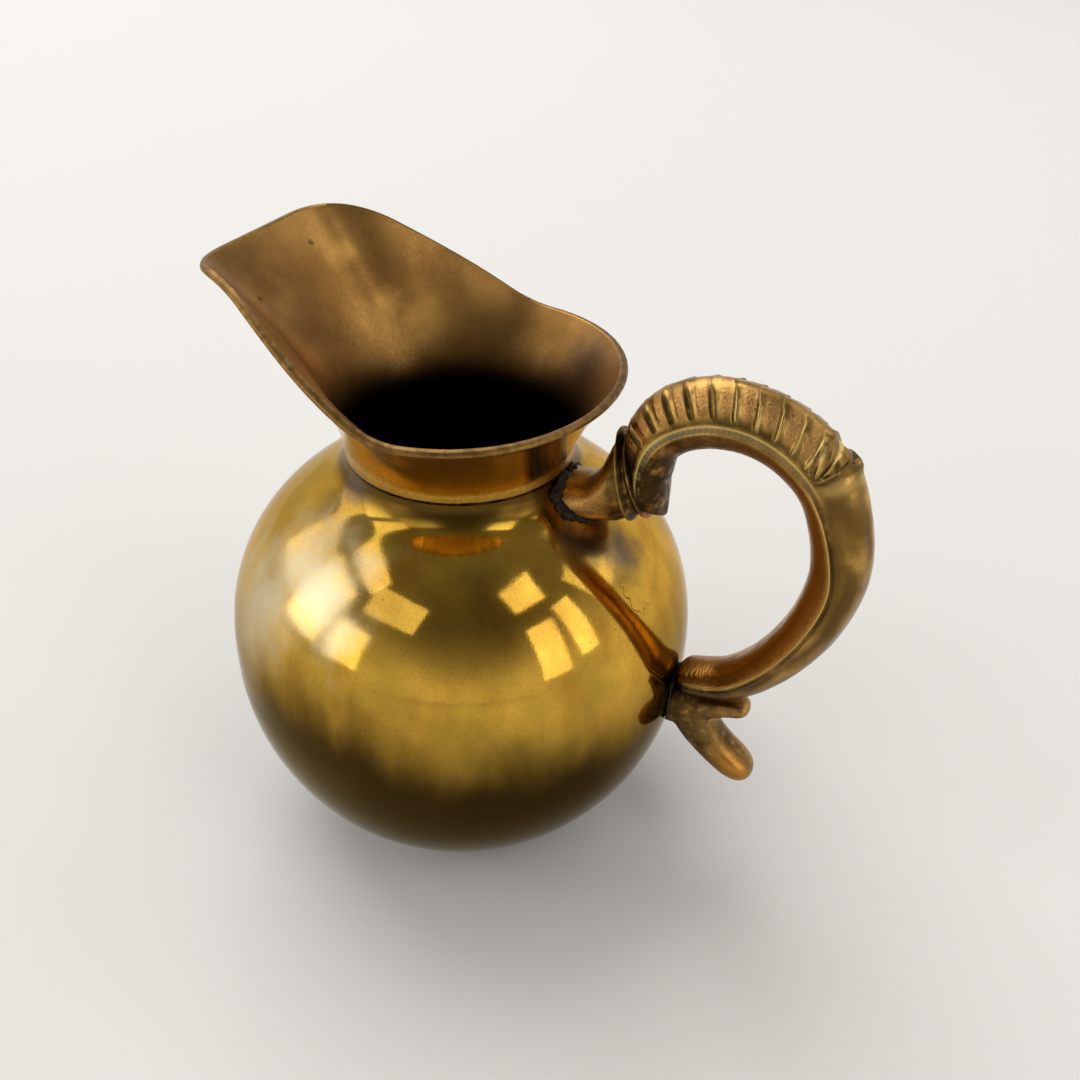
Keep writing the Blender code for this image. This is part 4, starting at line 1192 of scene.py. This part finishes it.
class PITCHER_OT_foot(Operator):
    """Make the toe and spur under the horn, melted together, and the solder at their root"""
    bl_idname = "pitcher.foot"
    bl_label = "Foot and its solder"

    def execute(self, context):
        toe = tongue_grid(TOE, TOE_WIDE, TOE_TALL, 60, 48)
        spur = tongue_grid(SPUR, SPUR_WIDE, SPUR_TALL, 48, 40)
        piece = skin("foot_toe_and_spur", toe, finish(context, "cast"))
        other = skin("spur_blank", spur, finish(context, "cast"))
        join = piece.modifiers.new("join", "BOOLEAN")
        join.operation = "UNION"
        join.object = other
        remesh = piece.modifiers.new("cast", "REMESH")
        remesh.mode = "VOXEL"
        remesh.voxel_size = 0.25 * MM
        remesh.use_smooth_shade = True
        soften = piece.modifiers.new("soften", "SMOOTH")
        soften.factor = 0.5
        soften.iterations = 22
        bpy.context.view_layer.update()
        evaluated = piece.evaluated_get(context.evaluated_depsgraph_get())
        solid = bpy.data.meshes.new_from_object(evaluated)
        piece.modifiers.clear()
        bpy.data.objects.remove(other)
        piece.data = solid
        points = np.array([v.co for v in solid.vertices])
        points = off_wall(points[:, None, :], 0.25 * MM)[0][:, 0, :]
        solid.vertices.foreach_set("co", points.astype(np.float32).ravel())
        for mark, values in self.wear(points).items():
            write_mark(solid, mark, values)
        solid.shade_smooth()
        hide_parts("handle_foot")
        self.solder(context)
        return {"FINISHED"}

    def wear(self, points):
        """Painted shade at the root and down the toe's upper part, darker lines along the toe's top
        and underside, and the patch on each side of the toe that is rubbed bare.
        """
        across, up = points[:, 0] - FOOT_ROOT.x, points[:, 2] - FOOT_ROOT.z
        flank = ease((np.abs(points[:, 1]) - 0.8 * MM) / (2.4 * MM))
        toe = ease((-3 * MM - up) / (5 * MM))
        worn = flank * bump(np.hypot(across - 16 * MM, up + 13 * MM), 6.5 * MM)
        # Painted shade: root darkens the foot towards the wall, and neck darkens the toe near its
        # root
        root = 0.95 * np.clip(1 - across / (18 * MM), 0, 1) ** 0.5
        neck = 0.95 * toe * (1 - ease((np.hypot(across, up) - 11 * MM) / (6 * MM)))
        dark = np.clip(np.maximum(root, neck) + 0.4 * toe * (1 - flank), 0, 1)
        return {"dark": dark * (1 - 0.8 * worn), "worn": worn, "cell": 0.4 * (1 - worn)}

    def solder(self, context):
        """Lumpy bead down the wall from the horn's tip to the foot's lower side."""
        low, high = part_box("foot_solder")
        middle = np.array((low + high) / 2)
        middle[0] = BELLY_RADIUS
        tall = (high.z - low.z) / 2 - 0.6 * MM
        ring = oval(middle, (0.0, 0.0, 1.0), 4.9 * MM, tall, 80)
        ring = off_wall(ring[:, None, :], 0.15 * MM)[0]
        bead = solder_bead(ring[:, 0, :], 0.42 * MM, 0.40 * MM, 17)
        piece = skin("foot_solder_bead", bead, finish(context, "solder"), loop_rows=True)
        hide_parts("foot_solder")


# Studio

def toward(azimuth, elevation):
    """Direction from the pitcher to a place at that azimuth and elevation."""
    level = math.cos(elevation)
    return Vector((math.sin(azimuth) * level, -math.cos(azimuth) * level, math.sin(elevation)))


class PITCHER_OT_stage(Operator):
    """Set the pale floor, the soft lamps, the room's light and the camera"""
    bl_idname = "pitcher.stage"
    bl_label = "Studio and camera"

    def execute(self, context):
        bpy.ops.mesh.primitive_circle_add(vertices=96, radius=FLOOR_RADIUS, fill_type="NGON")
        floor = context.object
        floor.name = "studio_floor"
        floor.data.materials.append(finish(context, "paper"))
        self.room(context)
        for name, azimuth, elevation, wide, tall, glow in STUDIO_LAMPS:
            back = toward(math.radians(azimuth), math.radians(elevation))
            self.lamp(context, name, back, math.radians(wide), math.radians(tall), glow)
        self.camera(context)
        return {"FINISHED"}

    def room(self, context):
        """Grey room: light round the horizon, dim overhead and dimmest where the camera stands."""
        world = bpy.data.worlds.new("studio_room")
        world.use_nodes = True
        context.scene.world = world
        tree = world.node_tree
        way = add_node(tree, "ShaderNodeTexCoord").outputs["Generated"]
        up = add_node(tree, "ShaderNodeSeparateXYZ", {0: way}).outputs[2]
        level = add_node(tree, "ShaderNodeMapRange",
                         {"Value": up, "From Min": ROOM_FADE[0], "From Max": ROOM_FADE[1],
                          "To Min": ROOM_HORIZON, "To Max": ROOM_OVERHEAD},
                         interpolation_type="SMOOTHSTEP")
        front = toward(CAMERA_AZIMUTH, CAMERA_ELEVATION)
        facing = add_node(tree, "ShaderNodeVectorMath", {0: way, 1: front},
                          operation="DOT_PRODUCT").outputs["Value"]
        shade = add_node(tree, "ShaderNodeMapRange",
                         {"Value": facing, "From Min": ROOM_NEAR[0], "From Max": ROOM_NEAR[1],
                          "To Min": 1.0, "To Max": ROOM_FRONT},
                         interpolation_type="SMOOTHSTEP")
        light = tree.nodes["Background"].inputs
        light["Color"].default_value = (*ROOM_WHITE, 1.0)
        tree.links.new(joined(tree, "MULTIPLY", (level, shade)).outputs[0], light["Strength"])

    def lamp(self, context, name, back, wide, tall, glow):
        """Soft lamp that covers angles across and up, as bright as a white of that value."""
        light = bpy.data.lights.new(name, "AREA")
        light.shape = "RECTANGLE"
        light.size, light.size_y = (2 * LAMP_DISTANCE * math.tan(angle / 2)
                                    for angle in (wide, tall))
        light.energy = glow * math.pi * light.size * light.size_y
        lamp = bpy.data.objects.new(name, light)
        lamp.location = LAMP_AIM + back * LAMP_DISTANCE
        lamp.rotation_euler = back.to_track_quat("Z", "Y").to_euler()
        context.scene.collection.objects.link(lamp)

    def camera(self, context):
        """Camera that sees the middle of the belly at its place in the picture."""
        back = toward(CAMERA_AZIMUTH, CAMERA_ELEVATION)
        data = bpy.data.cameras.new("camera")
        data.sensor_width = SENSOR_WIDTH
        data.lens = LENS_PIXELS / PICTURE * SENSOR_WIDTH
        data.clip_start, data.clip_end = 0.01, 20.0
        item = bpy.data.objects.new("camera", data)
        context.scene.collection.objects.link(item)
        seen = Vector((BELLY_IN_PICTURE[0] - PICTURE / 2, PICTURE / 2 - BELLY_IN_PICTURE[1],
                       -LENS_PIXELS)).normalized()
        aside = Vector((0.0, 0.0, -1.0)).rotation_difference(seen)
        roll = Quaternion((0.0, 0.0, 1.0), CAMERA_ROLL)
        item.rotation_mode = "QUATERNION"
        item.rotation_quaternion = (-back).to_track_quat("-Z", "Y") @ roll @ aside.inverted()
        item.location = Vector((0.0, 0.0, BELLY_HEIGHT)) + back * CAMERA_DISTANCE
        context.scene.camera = item
        context.scene.view_settings.view_transform = "Standard"


def length_field(name, description, default):
    """Length that a user may change."""
    return FloatProperty(name=name, description=description, default=default, min=0.0,
                         unit="LENGTH", precision=5)


def colour_field(name, description, code):
    """Colour that a user may change, by its sRGB hex value."""
    return FloatVectorProperty(name=name, description=description, default=from_hex(code),
                               size=3, min=0.0, max=1.0, subtype="COLOR")


class PitcherSizes(PropertyGroup):
    """Sizes of the pitcher that the frame leaves open"""
    wall: length_field("Wall", "Thickness of the spun sheet", 1.3 * MM)
    rim_roll: length_field("Rim swelling", "How far the filed rim stands out", 0.16 * MM)
    unevenness: length_field("Unevenness", "How far the belly strays from true round", 0.16 * MM)
    rib_count: IntProperty(name="Ribs", description="Grooves over the top of the horn",
                           default=10, min=1)
    rib_pitch: length_field("Rib spacing", "From groove to groove along the ridge", 3.03 * MM)
    rib_depth: length_field("Rib depth", "Depth of a groove", 0.60 * MM)
    bead_pitch: length_field("Bead spacing", "From bead to bead along the edge", 1.05 * MM)


class PitcherColours(PropertyGroup):
    """Colours of the metals and of the studio"""
    brass: colour_field("Brass", "Clean polished brass", "E2B246")
    neck_gold: colour_field("Neck", "Warmer brass of the neck", "D6A640")
    brass_olive: colour_field("Olive brass", "Polished brass under a thin tarnish", "B89438")
    brass_brown: colour_field("Brown brass", "Warmer brown tarnish", "96601C")
    tarnish_brown: colour_field("Tarnish", "Old dark tarnish", "3B2710")
    # Painted reflection: the pale grey of the haze on the belly's upper left
    painted_haze_grey: colour_field("Haze", "Grey bloom on the belly", "D0C6A8")
    heat_stain: colour_field("Heat stain", "Grey-brown stain under the stem", "685C54")
    # Black in grooves and pits, and also painted shade: the black throat and belly inside, and the
    # shade on the horn, stem, foot and under the rim
    soot_and_shade: colour_field("Soot", "Black in grooves and pits", "120C06")
    rim_tan: colour_field("Rim", "Filed edge of the mouth", "82623A")
    inside_brown: colour_field("Inside brown", "Darker satin inside", "A0743C")
    inside_gold: colour_field("Inside gold", "Lighter satin inside", "C49350")
    inside_dark: colour_field("Inside tarnish", "Brown tarnish along the spout", "5A3A1C")
    # Painted highlights: the golden spots of light inside the spout
    inside_painted_highlight: colour_field("Inside rubbed", "Places rubbed bright inside", "F0B860")
    inside_grey: colour_field("Inside grey", "Greyer satin on the handle side", "5C4E44")
    cast: colour_field("Cast brass", "Rubbed casting", "BC9250")
    cast_olive: colour_field("Cast olive", "Casting under a thin tarnish", "82642F")
    cast_streak: colour_field("Streaks", "Dark olive tarnish in streaks along the tail", "5E4520")
    cast_orange: colour_field("Cast cells", "Rough orange cells between the ridges", "C8985A")
    inner_face: colour_field("Inner face", "Orange-brown inner side of the horn", "9A6A32")
    bead_grey: colour_field("Beaded band", "Grey-green patina on the beads", "6A6550")
    ridge: colour_field("Ridges", "Rubbed bright ridges", "EAC878")
    copper: colour_field("Braze at the collar", "Coppery lines at the collar's faces", "C07030")
    edge_tint: colour_field("Edge tint", "Glancing reflections on aged brass", "E9DFCC")
    # Painted dark reflection: the dark brown painted over the belly's lower half
    painted_dark_reflection: colour_field("Base brown", "Old brown of the belly's lower half", "2C1C08")
    worn_copper: colour_field("Toe", "Orange wear on the toe", "B67E38")
    solder: colour_field("Solder", "Grey of soft solder", "3C2C20")
    floor: colour_field("Floor", "Studio floor", "F3F1ED")


PIECES = (PITCHER_OT_belly, PITCHER_OT_mouth, PITCHER_OT_stem, PITCHER_OT_collar, PITCHER_OT_horn,
          PITCHER_OT_foot, PITCHER_OT_stage)


class PITCHER_PT_panel(Panel):
    """Panel that lists the pitcher's pieces"""
    bl_idname = "PITCHER_PT_panel"
    bl_label = "Brass pitcher"
    bl_space_type = "VIEW_3D"
    bl_region_type = "UI"
    bl_category = "Pitcher"

    def draw(self, context):
        for group in (context.scene.pitcher_sizes, context.scene.pitcher_colours):
            for name in group.__annotations__:
                self.layout.prop(group, name)
        for piece in PIECES:
            self.layout.operator(piece.bl_idname)


CLASSES = (PitcherSizes, PitcherColours, *PIECES, PITCHER_PT_panel)


def register():
    for item in CLASSES:
        bpy.utils.register_class(item)
    bpy.types.Scene.pitcher_sizes = PointerProperty(type=PitcherSizes)
    bpy.types.Scene.pitcher_colours = PointerProperty(type=PitcherColours)


def unregister():
    del bpy.types.Scene.pitcher_colours
    del bpy.types.Scene.pitcher_sizes
    for item in reversed(CLASSES):
        bpy.utils.unregister_class(item)


def main():
    """Make every piece in order."""
    register()
    bpy.ops.pitcher.belly()
    bpy.ops.pitcher.mouth()
    bpy.ops.pitcher.stem()
    bpy.ops.pitcher.collar()
    bpy.ops.pitcher.horn()
    bpy.ops.pitcher.foot()
    bpy.ops.pitcher.stage()


if __name__ == "__main__":
    main()
